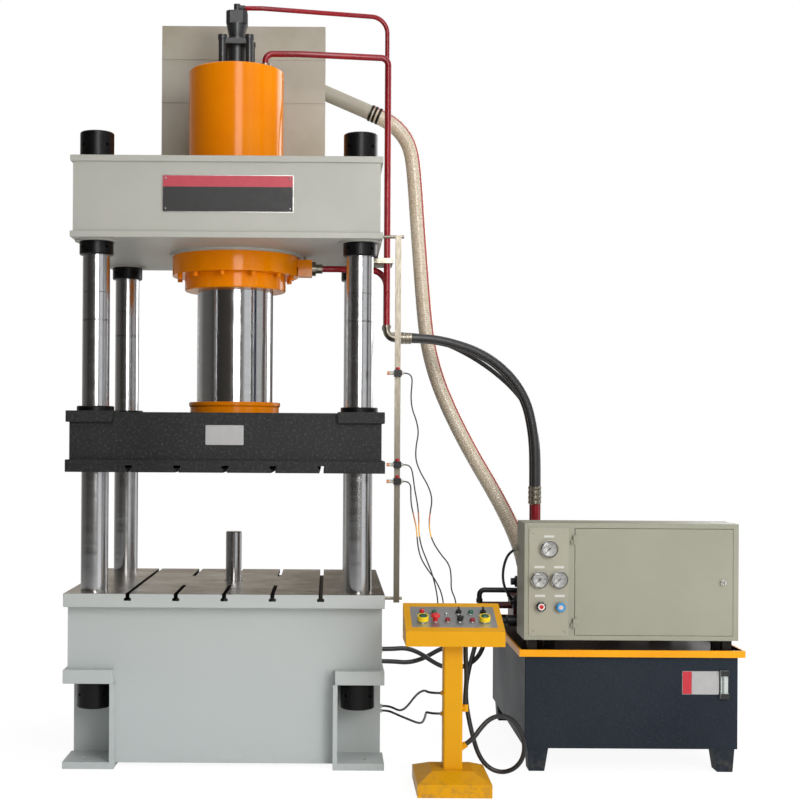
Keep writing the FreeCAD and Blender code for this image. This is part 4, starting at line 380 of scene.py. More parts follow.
def reinforced_pvc():
    """Clear PVC hose over a steel helix, yellowed by oil: beige ribs 12 mm apart and one red
    tracer line along it."""
    material, add, shader = start_material("reinforced_pvc", Roughness=0.32, Coat_Weight=0.3,
                                           IOR=1.53)
    along = add("TexCoord")
    coords = along.outputs["Object"]
    cloud = add("TexNoise", {"Vector": coords, "Scale": 9.0, "Detail": 5.0})
    body = add("Mix", {0: cloud, 6: linear("#d3c3a8"), 7: linear("#e8dfd0")})
    weave = add("TexVoronoi", {"Vector": coords, "Scale": 95.0})
    netted = add("MapRange", {"Value": weave, "From Min": 0.1, "From Max": 0.7, "To Max": 0.45})
    threads = add("Mix", {0: netted, 6: body, 7: linear("#a68f6c")})
    length, turn, _ = add("SeparateXYZ", {0: along.outputs["UV"]}).outputs
    line = near_any(add, turn, ((0.30, 0.022),))
    ribs = add("Math", {0: length, 1: 1400.0}, operation="MULTIPLY")
    wave = add("Math", {0: ribs}, operation="SINE")
    coils = add("Bump", {"Height": wave, "Strength": 0.4, "Distance": 0.0015})
    net = add("Bump", {"Height": weave, "Strength": 0.25, "Distance": 0.001, "Normal": coils})
    wire(shader, {"Base Color": add("Mix", {0: line, 6: threads, 7: linear("#a6414a")}),
                  "Normal": net})
    return material


# The routes' points, in metres. The pressure hoses lie in planes of their own along Y.
LARGE_HOSE = [(0.843, 1.925), (0.9, 1.925), (0.975, 1.917), (1.06, 1.897), (1.157, 1.864),
              (1.252, 1.808), (1.338, 1.724), (1.398, 1.62), (1.424, 1.505), (1.434, 1.41),
              (1.436, 1.312), (1.436, 1.22)]
SMALL_HOSE = [(0.812, 1.95), (0.872, 1.95), (0.965, 1.928), (1.068, 1.886), (1.168, 1.832),
              (1.262, 1.766), (1.347, 1.69), (1.41, 1.608), (1.45, 1.518), (1.467, 1.422),
              (1.471, 1.32), (1.471, 1.22)]
RETURN_HOSE = [
    (0.66, 0.424, 3.1), (0.751, 0.424, 3.061), (0.823, 0.422, 2.993), (0.866, 0.416, 2.904),
    (0.882, 0.404, 2.74), (0.894, 0.388, 2.55), (0.908, 0.368, 2.35), (0.92, 0.348, 2.18),
    (0.932, 0.328, 2.03), (0.95, 0.312, 1.895), (0.988, 0.298, 1.75), (1.045, 0.286, 1.608),
    (1.115, 0.274, 1.464), (1.192, 0.262, 1.324), (1.273, 0.25, 1.187), (1.343, 0.238, 1.054),
    (1.398, 0.23, 0.925), (1.43, 0.226, 0.805), (1.44, 0.224, 0.7), (1.44, 0.224, 0.6)]
UPPER_EJECTOR_HOSE = [
    (0.712, 0, 0.44), (0.758, 0, 0.44), (0.826, 0, 0.446), (0.892, 0, 0.423), (0.948, 0, 0.384),
    (1.003, 0, 0.355), (1.065, 0, 0.349), (1.124, 0, 0.366), (1.17, 0, 0.402), (1.196, 0, 0.453),
    (1.204, 0, 0.506), (1.205, 0, 0.55), (1.205, 0, 0.592)]
LOWER_EJECTOR_HOSE = [
    (0.712, 0.06, 0.372), (0.764, 0.06, 0.372), (0.84, 0.06, 0.365), (0.915, 0.06, 0.386),
    (0.985, 0.06, 0.428), (1.048, 0.06, 0.452), (1.102, 0.06, 0.468), (1.141, 0.06, 0.495),
    (1.164, 0.06, 0.529), (1.172, 0.06, 0.562), (1.172, 0.06, 0.592)]
CONSOLE_LOOP = [
    (1.03, -0.862, 0.176), (1.062, -0.862, 0.2), (1.09, -0.852, 0.238), (1.128, -0.836, 0.274),
    (1.176, -0.818, 0.288), (1.222, -0.8, 0.272), (1.258, -0.782, 0.232), (1.282, -0.766, 0.182),
    (1.29, -0.752, 0.128), (1.278, -0.74, 0.076), (1.244, -0.728, 0.038), (1.2, -0.716, 0.023),
    (1.156, -0.704, 0.032), (1.12, -0.694, 0.062), (1.096, -0.684, 0.105), (1.08, -0.67, 0.158),
    (1.066, -0.652, 0.22), (1.054, -0.628, 0.29), (1.054, -0.59, 0.358), (1.07, -0.538, 0.422),
    (1.094, -0.47, 0.48), (1.118, -0.392, 0.526), (1.136, -0.312, 0.56), (1.15, -0.242, 0.58),
    (1.156, -0.198, 0.612), (1.156, -0.18, 0.65), (1.156, -0.18, 0.686)]
VALVE_CABLE = [
    (1.29, -0.376, 0.946), (1.277, -0.372, 0.937), (1.262, -0.362, 0.918), (1.252, -0.346, 0.887),
    (1.247, -0.328, 0.85), (1.248, -0.312, 0.812), (1.255, -0.299, 0.78), (1.266, -0.287, 0.754),
    (1.279, -0.275, 0.733)]
CONSOLE_DROP = [
    (1.024, -0.88, 0.585), (1.024, -0.88, 0.545), (1.027, -0.881, 0.5), (1.029, -0.88, 0.455),
    (1.027, -0.88, 0.41), (1.024, -0.88, 0.375), (1.024, -0.88, 0.345)]
HIGH_SENSOR = [
    (0.776, -0.586, 1.73), (0.792, -0.586, 1.73), (0.806, -0.587, 1.722), (0.813, -0.589, 1.707),
    (0.812, -0.594, 1.678), (0.807, -0.603, 1.63), (0.811, -0.614, 1.575), (0.832, -0.624, 1.52),
    (0.84, -0.634, 1.468), (0.828, -0.643, 1.414), (0.826, -0.652, 1.352), (0.848, -0.661, 1.296),
    (0.88, -0.669, 1.244), (0.898, -0.677, 1.186), (0.888, -0.684, 1.13), (0.882, -0.69, 1.07),
    (0.896, -0.694, 1.008), (0.932, -0.697, 0.952), (0.972, -0.699, 0.906), (0.979, -0.7, 0.852),
    (0.978, -0.699, 0.8), (0.996, -0.698, 0.762), (1.0, -0.698, 0.734), (1.0, -0.698, 0.7095),
    (1.0, -0.705, 0.696), (1.0, -0.719, 0.688), (1.0, -0.734, 0.688)]
MIDDLE_SENSOR = [
    (0.776, -0.586, 1.331), (0.792, -0.586, 1.331), (0.807, -0.587, 1.323),
    (0.815, -0.59, 1.306), (0.82, -0.597, 1.274), (0.826, -0.608, 1.222), (0.837, -0.62, 1.166),
    (0.843, -0.632, 1.104), (0.842, -0.648, 1.044), (0.85, -0.664, 0.986), (0.872, -0.68, 0.93),
    (0.896, -0.69, 0.872), (0.912, -0.697, 0.812), (0.921, -0.698, 0.76), (0.922, -0.698, 0.73),
    (0.921, -0.698, 0.707), (0.921, -0.706, 0.694), (0.921, -0.72, 0.688), (0.921, -0.734, 0.688)]
LOW_SENSOR = [
    (0.776, -0.586, 1.258), (0.791, -0.586, 1.258), (0.804, -0.588, 1.25), (0.81, -0.592, 1.235),
    (0.809, -0.602, 1.206), (0.81, -0.62, 1.16), (0.82, -0.642, 1.112), (0.832, -0.662, 1.058),
    (0.834, -0.68, 1.0), (0.844, -0.696, 0.942), (0.872, -0.706, 0.892), (0.906, -0.709, 0.848),
    (0.932, -0.706, 0.8), (0.944, -0.699, 0.756), (0.946, -0.698, 0.73), (0.945, -0.698, 0.707),
    (0.945, -0.706, 0.694), (0.945, -0.72, 0.688), (0.945, -0.734, 0.688)]
HIGH_BASE_CABLE = [
    (0.702, -0.3, 0.225), (0.728, -0.3, 0.225), (0.754, -0.318, 0.219), (0.776, -0.362, 0.216),
    (0.794, -0.428, 0.234), (0.812, -0.508, 0.272), (0.828, -0.592, 0.316), (0.842, -0.676, 0.352),
    (0.856, -0.752, 0.376), (0.865, -0.812, 0.387), (0.866, -0.847, 0.39), (0.877, -0.868, 0.39),
    (0.898, -0.88, 0.39), (0.922, -0.88, 0.39)]
LOW_BASE_CABLE = [
    (0.702, -0.27, 0.198), (0.73, -0.27, 0.198), (0.758, -0.29, 0.19), (0.786, -0.34, 0.186),
    (0.812, -0.42, 0.19), (0.834, -0.506, 0.196), (0.852, -0.592, 0.206), (0.862, -0.672, 0.226),
    (0.866, -0.75, 0.262), (0.866, -0.808, 0.292), (0.866, -0.846, 0.304), (0.877, -0.868, 0.305),
    (0.898, -0.88, 0.305), (0.922, -0.88, 0.305)]


def sensor_sheath():
    """Thin PVC cable, dark, with a spliced stretch of orange and yellow cores at half height."""
    material = extruded_rubber("sensor_sheath", linear("#242322"), 0.45)
    add, shader, dark, coords = reopen(material)
    height = add("SeparateXYZ", {0: coords}).outputs[2]
    bands = add("ValToRGB", {0: add("MapRange", {"Value": height, "From Min": 1.0,
                                                 "From Max": 1.2})})
    black, white = (0, 0, 0, 1), (1, 1, 1, 1)
    set_stops(bands, ((0.10, black), (0.14, white), (0.60, white), (0.64, black)))
    cores = add("MapRange", {"Value": height, "From Min": 1.05, "From Max": 1.1})
    bright = add("Mix", {0: cores, 6: linear("#f2b632"), 7: linear("#b5642a")})
    wire(shader, {"Base Color": add("Mix", {0: bands, 6: dark, 7: bright})})
    return material


def hose_bands():
    """Three dark clamp bands where the return hose is pushed over the tank's outlet."""
    steel = bare_metal("clamp_band_steel", linear("#3b3835"), 0.4, linear("#1f1d1b"), scale=60.0,
                       bump=0.2)
    start, along = Vector(RETURN_HOSE[0]), Vector((0.919, 0, -0.394))
    bands = []
    for reach in (-0.004, 0.016, 0.038):
        deselect()
        bpy.ops.mesh.primitive_cylinder_add(
            vertices=64, radius=0.0405, depth=0.012, end_fill_type="NOTHING",
            location=start + along * reach, rotation=(0, math.atan2(along.x, along.z), 0))
        solid = bpy.context.object.modifiers.new("thickness", "SOLIDIFY")
        solid.thickness, solid.offset = 0.0018, 1.0
        bpy.ops.object.modifier_apply(modifier=solid.name)
        bands.append(bpy.context.object)
    settle(join(bands), "return_hose_bands", "press", "lock_metal", steel)


class PRESS_OT_hoses(bpy.types.Operator):
    """Pressure hoses, ejector hoses and the clear return hose"""
    bl_idname = "press.hoses"
    bl_label = "Hoses"

    def execute(self, context):
        rubber = extruded_rubber("pressure_hose_rubber", linear("#222222"), 0.34)
        for name, y in (("front", -0.025), ("rear", 0.042)):
            lay_cord("pressure_hose_" + name, [(x, y, z) for x, z in LARGE_HOSE], 0.04,
                     "pressure_hose_large", rubber)
        lay_cord("pressure_hose_thin", [(x, 0.11, z) for x, z in SMALL_HOSE], 0.022,
                 "pressure_hose_small", rubber)
        for name, route, length in (("high", UPPER_EJECTOR_HOSE, 0.69),
                                    ("low", LOWER_EJECTOR_HOSE, 0.56)):
            lay_cord("ejector_hose_" + name, route, 0.022, "ejector_hoses", rubber)
        lay_cord("clear_return_hose", RETURN_HOSE, 0.08, "return_hose", reinforced_pvc())
        hose_bands()
        return {"FINISHED"}


class PRESS_OT_cables(bpy.types.Operator):
    """Pedestal cable, sensor cables, the two cables from the base and the valves' cable"""
    bl_idname = "press.cables"
    bl_label = "Cables"

    def execute(self, context):
        sheath = extruded_rubber("cable_sheath", linear("#141414"), 0.33)
        spliced = sensor_sheath()
        for name, route, diameter, node, material, length, stiffness in (
                ("pedestal_cable", CONSOLE_LOOP, 0.02, "console_cable", sheath, 1.53, "medium"),
                ("console_drop_cable", CONSOLE_DROP, 0.02, "console_cable", sheath, 0.24,
                 "medium"),
                ("switch_cable_upper", HIGH_SENSOR, 0.006, "sensor_cables", spliced, 1.13,
                 "limp"),
                ("switch_cable_middle", MIDDLE_SENSOR, 0.006, "sensor_cables", spliced, 0.71,
                 "limp"),
                ("switch_cable_lower", LOW_SENSOR, 0.006, "sensor_cables", spliced, 0.66, "limp"),
                ("base_cable_high", HIGH_BASE_CABLE, 0.01, "base_cable", sheath, 0.69, "medium"),
                ("base_cable_low", LOW_BASE_CABLE, 0.01, "base_cable", sheath, 0.72, "medium"),
                ("valve_cable_arc", VALVE_CABLE, 0.012, "valve_cable", sheath, 0.25, "medium")):
            lay_cord(name, route, diameter, node, material)
        return {"FINISHED"}


# ---------------------------------------------------------------- finishes of the CAD nodes
def worn_chrome():
    """Hard chrome of the columns: ground bright, with faint rings where the bushes have stopped
    and a fine speckle of oil."""
    material = bare_metal("hard_chrome_worn", linear("#d3d4d6"), 0.19, linear("#bfc0c2"),
                          scale=3.0, stretch=(1.0, 1.0, 14.0), bump=0.05, spread=0.06)
    add, shader, clean, coords = reopen(material)
    height = add("SeparateXYZ", {0: coords}).outputs[2]
    rings = near_any(add, height, ((2.085, 0.0022), (1.962, 0.0035), (1.958, 0.0012)))
    broken = add("TexNoise", {"Vector": coords, "Scale": 60.0, "Detail": 5.0, "Roughness": 0.7})
    faint = add("MapRange", {"Value": broken, "From Min": 0.4, "From Max": 0.62, "To Max": 0.75})
    specks = add("TexNoise", {"Vector": coords, "Scale": 240.0, "Detail": 2.0})
    dots = add("MapRange", {"Value": specks, "From Min": 0.66, "From Max": 0.74, "To Max": 0.5})
    both = add("Math", {0: all_of(add, rings, faint), 1: dots}, operation="MAXIMUM")
    wire(shader, {"Base Color": add("Mix", {0: both, 6: clean, 7: linear("#4c4641")})})
    return material


class PRESS_OT_frame_finish(bpy.types.Operator):
    """Enamel, milled steel, hard chrome and black oxide of the press frame"""
    bl_idname = "press.frame_finish"
    bl_label = "Press frame"

    def execute(self, context):
        finish_node(frame_enamel(True), "table_plate")
        finish_node(frame_enamel(False), "base_frame", "corner_mounts", "crown_beam")
        # The filling tank's enamel is darker and warmer than the frame's: partly dirt, partly
        # painted shade from the cylinder in front of it.
        finish_node(sprayed_enamel("tank_enamel_dirt_and_shade", linear("#9c947f"), linear("#b9b5aa"), 0.4,
                                   0.0, patch=1.1, peel=1.0, sheen=0.2), "filling_tank")
        finish_node(worn_chrome(), "columns")
        chrome = bare_metal("hard_chrome_ground", linear("#d3d4d6"), 0.10, linear("#c2c3c4"),
                            scale=3.0, stretch=(1.0, 1.0, 14.0), bump=0.04, spread=0.05)
        finish_node(chrome, "ram", "ejector_rod")
        oxide = bare_metal("black_oxide_steel", linear("#101011"), 0.34, linear("#202021"),
                           scale=60.0, bump=0.2, metallic=0.7)
        finish_node(oxide, "column_nuts", "guide_bushes")
        return {"FINISHED"}


class PRESS_OT_cylinder_finish(bpy.types.Operator):
    """Orange gloss enamel of the main cylinder, and its filling valve and seals"""
    bl_idname = "press.cylinder_finish"
    bl_label = "Main cylinder"

    def execute(self, context):
        orange = sprayed_enamel("cylinder_gloss_enamel", paints().cylinder_orange,
                                linear("#e87e00"), 0.11, 0.0, patch=2.0, peel=0.1, sheen=0.2)
        finish_node(orange, "cylinder_barrel", "cylinder_gland", "gland_screws", "ram_flange")
        dark = sprayed_enamel("valve_enamel_dark", linear("#2c2d2f"), linear("#232425"), 0.34,
                              0.2, patch=9.0, peel=0.9)
        finish_node(dark, "filling_valve", "ejector_cylinder")
        finish_node(moulded("seal_rubber", linear("#151515"), 0.6), "gland_seals", "piston_seals")
        return {"FINISHED"}


class PRESS_OT_beam_finish(bpy.types.Operator):
    """Speckled charcoal enamel of the moving beam"""
    bl_idname = "press.beam_finish"
    bl_label = "Moving beam"

    def execute(self, context):
        charcoal = sprayed_enamel("beam_enamel_speckled", paints().beam_charcoal,
                                  linear("#262627"), 0.45, 0.0, patch=2.4, peel=0.9,
                                  fleck=linear("#7c7c7a"), fleck_share=0.2, sheen=0.18)
        finish_node(charcoal, "slide_beam")
        return {"FINISHED"}


class PRESS_OT_pipe_finish(bpy.types.Operator):
    """Red pipes, their fittings and the limit switches"""
    bl_idname = "press.pipe_finish"
    bl_label = "Pipes and switches"

    def execute(self, context):
        red = sprayed_enamel("pipe_enamel_red", paints().pipe_red, linear("#7c0a17"), 0.22, 0.1,
                             patch=5.0, peel=0.2, sheen=0.4)
        finish_node(red, "steel_pipes")
        finish_node(bare_metal("zinc_plated_steel", linear("#a29c8e"), 0.3, linear("#7e7668"),
                               scale=45.0, bump=0.25), "pipe_fittings")
        finish_node(bare_metal("drawn_bar_steel", linear("#8c8578"), 0.34, linear("#5d574d"),
                               scale=30.0, stretch=(6.0, 6.0, 0.6)), "switch_bar")
        finish_node(sensor_finish(), "proximity_switches")
        return {"FINISHED"}


def sensor_finish():
    """Nickel-plated barrels with an orange nose, black clamp blocks and red knobs on top."""
    material, add, shader = start_material("sensor_and_clamp", Roughness=0.35)
    coords = add("TexCoord").outputs["Object"]
    x, _, z = add("SeparateXYZ", {0: coords}).outputs
    parts = add("ValToRGB", {0: add("MapRange", {"Value": x, "From Min": 0.7,
                                                 "From Max": 0.78})})
    nickel = linear("#b9b4a8")
    set_stops(parts, ((0.0, linear("#c87a45")), (0.17, nickel), (0.43, linear("#1b1b1c")),
                      (0.85, nickel)), steps=True)
    knobs = near_any(add, z, [(clamp + 0.0065, 0.0063) for clamp in (1.744, 1.345, 1.272)])
    thread = add("TexWave", {"Vector": coords, "Scale": 160.0}, bands_direction="X")
    skin = add("Bump", {"Height": thread.outputs["Fac"], "Strength": 0.35, "Distance": 0.0005})
    wire(shader, {"Base Color": add("Mix", {0: knobs, 6: parts, 7: linear("#a3121d")}),
                  "Normal": skin})
    return material


class PRESS_OT_power_finish(bpy.types.Operator):
    """Tank, tray, cabinet, motor, pump and valves of the power unit"""
    bl_idname = "press.power_finish"
    bl_label = "Power unit"

    def execute(self, context):
        finish_node(sprayed_enamel("oil_tank_enamel", paints().tank_blue, linear("#222931"), 0.45,
                                   0.0, patch=1.8, peel=0.8, fleck=linear("#3b434c"),
                                   fleck_share=0.25, grime=0.5, sheen=0.15), "oil_tank")
        finish_node(tray_finish(), "drip_tray")
        finish_node(cabinet_finish(), "cabinet", "cabinet_door")
        finish_node(sprayed_enamel("gauge_panel_enamel", linear("#9f9c8b"), linear("#979483"),
                                   0.38, 0.1, patch=3.0, peel=0.6), "gauge_panel")
        finish_node(bare_metal("polished_nickel", linear("#d6d4cf"), 0.08, linear("#bcbab5"),
                               scale=50.0, bump=0.05), "pressure_gauges")
        finish_node(bare_metal("lock_chrome", linear("#f1f0ed"), 0.26, linear("#d9d7d2"),
                               scale=90.0, bump=0.05), "door_lock")
        finish_node(sight_glass(), "level_gauge")
        finish_node(moulded("pointer_black", linear("#121212"), 0.4), "gauge_pointer_main",
                    "gauge_pointer_left", "gauge_pointer_right")
        finish_node(knob_finish("valve_knob_red_black", (1.377, 0.719), linear("#18181a"),
                                linear("#d8d5d0"), linear("#c4101c")), "valve_knob_red")
        finish_node(knob_finish("valve_knob_blue_cap", (1.462, 0.717), linear("#2f86bb"),
                                linear("#3c93c6"), linear("#d8b4a8")), "valve_knob_blue")
        finish_node(sprayed_enamel("motor_enamel", linear("#4c545a"), linear("#3f474d"), 0.42,
                                   0.15, patch=6.0, peel=1.0), "pump_motor")
        finish_node(bare_metal("turned_shaft_steel", linear("#8f8d88"), 0.3, linear("#6f6d69"),
                               scale=80.0), "motor_rotor")
        finish_node(bare_metal("cast_aluminium", linear("#8d8c88"), 0.48, linear("#6d6c68"),
                               scale=120.0, bump=0.5), "gear_pump")
        finish_node(manifold_finish(), "valve_manifold")
        return {"FINISHED"}


def cabinet_finish():
    """Grey-green enamel. The feet under it are painted near-black: painted shade under the
    cabinet.
    """
    material = sprayed_enamel("cabinet_enamel", paints().cabinet_grey, linear("#919182"), 0.4,
                              0.0, patch=1.6, peel=0.7, sheen=0.15)
    add, shader, painted, coords = reopen(material)
    height = add("SeparateXYZ", {0: coords}).outputs[2]
    floor = 0.5725
    # Painted shade: the feet below the cabinet's floor are near-black.
    shaded_feet = add("Math", {0: height, 1: floor}, operation="LESS_THAN")
    wire(shader, {"Base Color": add("Mix", {0: shaded_feet, 6: painted, 7: linear("#1f1c19")})})
    return material


def tray_finish():
    """Orange-yellow enamel on the tray's rim. Its bottom is dark: pools of old oil, and painted
    shade.
    """
    material = sprayed_enamel("tray_enamel_oil_and_shade", linear("#eda200"), linear("#e69600"), 0.36, 0.0,
                              patch=2.5, peel=0.4, sheen=0.25)
    add, shader, clean, coords = reopen(material)
    x, y, z = add("SeparateXYZ", {0: coords}).outputs
    pool = add("TexNoise", {"Vector": coords, "Scale": 6.0, "Detail": 6.0})
    # The tray's bottom is near-black: partly old oil, partly painted shade.
    oil = add("Mix", {0: pool, 6: linear("#0f0c0a"), 7: linear("#2b211a")})
    rim, front, rear, middle, half_width = 0.53, -0.6095, 0.6295, 1.776, 0.4905
    oily_shaded_bottom = all_of(add, add("Math", {0: z, 1: rim}, operation="LESS_THAN"),
                   add("Math", {0: y, 1: front}, operation="GREATER_THAN"),
                   add("Math", {0: y, 1: rear}, operation="LESS_THAN"),
                   near_any(add, x, ((middle, half_width),)))
    dull = add("MapRange", {"Value": oily_shaded_bottom, "To Min": 0.25, "To Max": 0.05})
    wire(shader, {"Base Color": add("Mix", {0: oily_shaded_bottom, 6: clean, 7: oil}),
                  "Specular IOR Level": dull})
    return material


def sight_glass():
    """The level gauge: black end blocks, and a pale tube behind their faces."""
    material, add, shader = start_material("sight_glass_and_blocks", Roughness=0.25,
                                           Metallic=0.0)
    coords = add("TexCoord").outputs["Object"]
    depth = add("SeparateXYZ", {0: coords}).outputs[1]
    block_faces = -0.6095
    tube = add("Math", {0: depth, 1: block_faces}, operation="GREATER_THAN")
    wire(shader, {"Base Color": add("Mix", {0: tube, 6: linear("#17181a"),
                                            7: linear("#b9c0bd")}),
                  "Normal": eroded_skin(add, coords, 700.0)})
    return material


def knob_finish(name, centre, skirt, ring, cap):
    """A moulded valve knob: fluted skirt, a pale ring and a coloured cap set in its face."""
    material, add, shader = start_material(name, Roughness=0.3, Coat_Weight=0.3)
    coords = add("TexCoord").outputs["Object"]
    x, y, z = add("SeparateXYZ", {0: coords}).outputs
    squares = []
    for along, middle in zip((x, z), centre):
        offset = add("Math", {0: along, 1: middle}, operation="SUBTRACT")
        squares.append(add("Math", {0: offset, 1: 2.0}, operation="POWER"))
    total = add("Math", {0: squares[0], 1: squares[1]}, operation="ADD")
    radius = add("Math", {0: total, 1: 0.5}, operation="POWER")
    knob_radius, face = 0.022, -0.6265
    zones = add("ValToRGB", {0: add("MapRange", {"Value": radius, "From Max": knob_radius})})
    set_stops(zones, ((0.0, cap), (0.42, ring), (0.66, skirt)), steps=True)
    faced = add("Math", {0: y, 1: face}, operation="LESS_THAN")
    wire(shader, {"Base Color": add("Mix", {0: faced, 6: skirt, 7: zones}),
                  "Normal": eroded_skin(add, coords, 800.0)})
    return material


def manifold_finish():
    """Phosphated blocks, black coils and dark red header, all with an oily film."""
    material = bare_metal("phosphated_blocks", linear("#2a2724"), 0.36, linear("#191716"),
                          scale=35.0, bump=0.35, metallic=0.5)
    add, shader, block, coords = reopen(material)
    x, y, _ = add("SeparateXYZ", {0: coords}).outputs
    coils_end, header_front = 1.3715, -0.065
    coil = add("Math", {0: x, 1: coils_end}, operation="LESS_THAN")
    header = add("Math", {0: y, 1: header_front}, operation="GREATER_THAN")
    dark = add("Mix", {0: coil, 6: block, 7: linear("#17181a")})
    wire(shader, {"Base Color": add("Mix", {0: header, 6: dark, 7: linear("#431214")})})
    return material


class PRESS_OT_pedestal_finish(bpy.types.Operator):
    """Yellow enamel, brushed panel and moulded controls of the pedestal"""
    bl_idname = "press.pedestal_finish"
    bl_label = "Control pedestal"

    def execute(self, context):
        yellow = sprayed_enamel("pedestal_enamel", paints().pedestal_yellow, linear("#d69800"),
                                0.36, 0.05, patch=2.2, peel=0.5, grime=0.6, sheen=0.2)
        finish_node(yellow, "control_pedestal")
        finish_node(panel_finish(), "console_panel")
        for name, shade, nodes in (
                ("stop_button_red", "#d21a1f", ("emergency_stop",)),
                ("push_button_red", "#8c1420", ("red_button_left", "red_button_right")),
                ("push_button_green", "#24624a", ("green_button_left", "green_button_right")),
                ("palm_button_green", "#14543a", ("palm_button_left", "palm_button_right"))):
            finish_node(moulded(name, linear(shade), 0.3, coat=0.2), *nodes)
        finish_node(moulded("selector_black", linear("#161617"), 0.38), "selector_middle",
                    "selector_right", "cross_switch")
        return {"FINISHED"}


def panel_finish():
    """Brushed anodised panel with bright bezels. The palm-button guards are yellow and the power
    lamp's lens is red."""
    material, add, shader = start_material("brushed_panel", Roughness=0.32)
    coords = add("TexCoord").outputs["Object"]
    drawn = add("Mapping", {"Vector": coords, "Scale": (1.0, 60.0, 60.0)})
    brush = add("TexNoise", {"Vector": drawn, "Scale": 12.0, "Detail": 6.0})
    metal = add("Mix", {0: brush, 6: linear("#a3a5a6"), 7: linear("#b9bab9")})
    slope = math.atan2(0.086, 0.252)
    lower_edge = Vector((0.0, -0.996, 0.661))
    outwards = Vector((0.0, -math.sin(slope), math.cos(slope)))
    upwards = Vector((0.0, math.cos(slope), math.sin(slope)))
    lift, climb = (add("VectorMath", {0: coords, 1: way}, operation="DOT_PRODUCT")
                   for way in (outwards, upwards))
    x = add("SeparateXYZ", {0: coords}).outputs[0]
    sheet, front_half, lamp_side, half_guard = 0.004, 0.125, 0.87, 0.0235
    raised = add("Math", {0: lift.outputs["Value"], 1: lower_edge.dot(outwards) + sheet},
                 operation="GREATER_THAN")
    front = add("Math", {0: climb.outputs["Value"], 1: lower_edge.dot(upwards) + front_half},
                operation="LESS_THAN")
    rear = add("Math", {0: 1.0, 1: front}, operation="SUBTRACT")
    left = add("Math", {0: x, 1: lamp_side}, operation="LESS_THAN")
    guard = near_any(add, x, ((0.845, half_guard), (1.1, half_guard)))
    yellow = all_of(add, raised, guard, front)
    lens = all_of(add, raised, rear, left)
    guards = add("Mix", {0: yellow, 6: metal, 7: linear("#f0cf1c")})
    plain = add("Math", {0: yellow, 1: lens}, operation="ADD")
    wire(shader, {"Base Color": add("Mix", {0: lens, 6: guards, 7: linear("#c8161f")}),
                  "Metallic": add("MapRange", {"Value": plain, "To Min": 0.85, "To Max": 0.0}),
                  "Normal": add("Bump", {"Height": brush, "Strength": 0.1, "Distance": 0.0002})})
    return material


# ---------------------------------------------------------------- plates
def front_plate(name, x0, x1, z0, z1, y, thickness, corner, slot, *materials, parted=None):
    """A flat plate on a front face: rounded corners, a soft rim, and an optional second colour
    above a level."""
    deselect()
    bpy.ops.mesh.primitive_plane_add(size=1, location=((x0 + x1) / 2, y, (z0 + z1) / 2),
                                     rotation=(math.pi / 2, 0, 0))
    plate = bpy.context.object
    plate.scale = (x1 - x0, z1 - z0, 1)
    bpy.ops.object.transform_apply(location=True, rotation=True, scale=True)
    bpy.ops.object.mode_set(mode="EDIT")
    bpy.ops.mesh.select_all(action="SELECT")
    bpy.ops.mesh.bevel(offset=corner, segments=4, affect="VERTICES")
    bpy.ops.mesh.select_all(action="SELECT")
    bpy.ops.mesh.extrude_region_move(TRANSFORM_OT_translate={"value": (0, -thickness, 0)})
    pick(plate, lambda f: f.normal.y < -0.9 and f.center.y < y - thickness / 2)
    bpy.ops.mesh.inset(thickness=min(corner, thickness) * 0.5, depth=0.0)
    bpy.ops.mesh.select_all(action="SELECT")
    bpy.ops.mesh.normals_make_consistent(inside=False)
    if parted:
        bpy.ops.mesh.bisect(plane_co=(0, 0, parted), plane_no=(0, 0, 1))
        bpy.ops.object.mode_set(mode="OBJECT")
        while len(plate.data.materials) < 2:
            plate.data.materials.append(None)
        for face in plate.data.polygons:
            face.material_index = int(face.center.z > parted)
    return settle(plate, name, "press", slot, *materials)


def rivets(name, places, radius, height, material):
    """Domed rivet heads: one is turned, the rest are its copies."""
    deselect()
    bpy.ops.mesh.primitive_uv_sphere_add(segments=16, ring_count=8, radius=radius)
    first = bpy.context.object
    bpy.ops.object.mode_set(mode="EDIT")
    bpy.ops.mesh.select_all(action="SELECT")
    bpy.ops.mesh.bisect(plane_co=(0, 0, 0), plane_no=(0, 1, 0), clear_outer=True, use_fill=True)
    bpy.ops.object.mode_set(mode="OBJECT")
    first.scale = (1, height / radius, 1)
    bpy.ops.object.transform_apply(scale=True)
    heads = []
    for place in places:
        head = first.copy()
        head.data = first.data.copy()
        bpy.context.scene.collection.objects.link(head)
        head.location = place
        heads.append(head)
    bpy.data.objects.remove(first)
    deselect()
    for head in heads:
        head.select_set(True)
    bpy.context.view_layer.objects.active = heads[0]
    bpy.ops.object.transform_apply(location=True)
    return settle(join(heads), name, "press", "lock_metal", material)


class PRESS_OT_nameplate(bpy.types.Operator):
    """Blank nameplate on the crown, red over black, with its four rivets"""
    bl_idname = "press.nameplate"
    bl_label = "Nameplate"

    def execute(self, context):
        size = context.scene.press_plates
        x, z, crown_front = 0.0045, 2.508, -0.589
        half_w, half_h = size.nameplate_width / 2, size.nameplate_height / 2
        black = moulded("plate_print_black", linear("#161413"), 0.5)
        red = moulded("plate_print_red", linear("#b3283a"), 0.45, coat=0.1)
        rim = bare_metal("plate_aluminium", linear("#a9a7a4"), 0.3, linear("#8c8a88"), scale=60.0)
        for name, inset, lift, thickness, corner, prints, parted in (
                ("nameplate_backing", 0.0, 0.0, 0.002, 0.006, (rim,), None),
                ("nameplate_face", 0.004, 0.002, 0.001, 0.004, (black, red), z + half_h * 0.36)):
            w, h = half_w - inset, half_h - inset
            front_plate(name, x - w, x + w, z - h, z + h, crown_front - lift, thickness, corner,
                        "frame_paint", *prints, parted=parted)
        rivets("nameplate_rivets", [(x + sx * (half_w - 0.016), -0.592, z + sz * (half_h - 0.016))
                                    for sx in (-1, 1) for sz in (-1, 1)], 0.005, 0.003, rim)
        return {"FINISHED"}


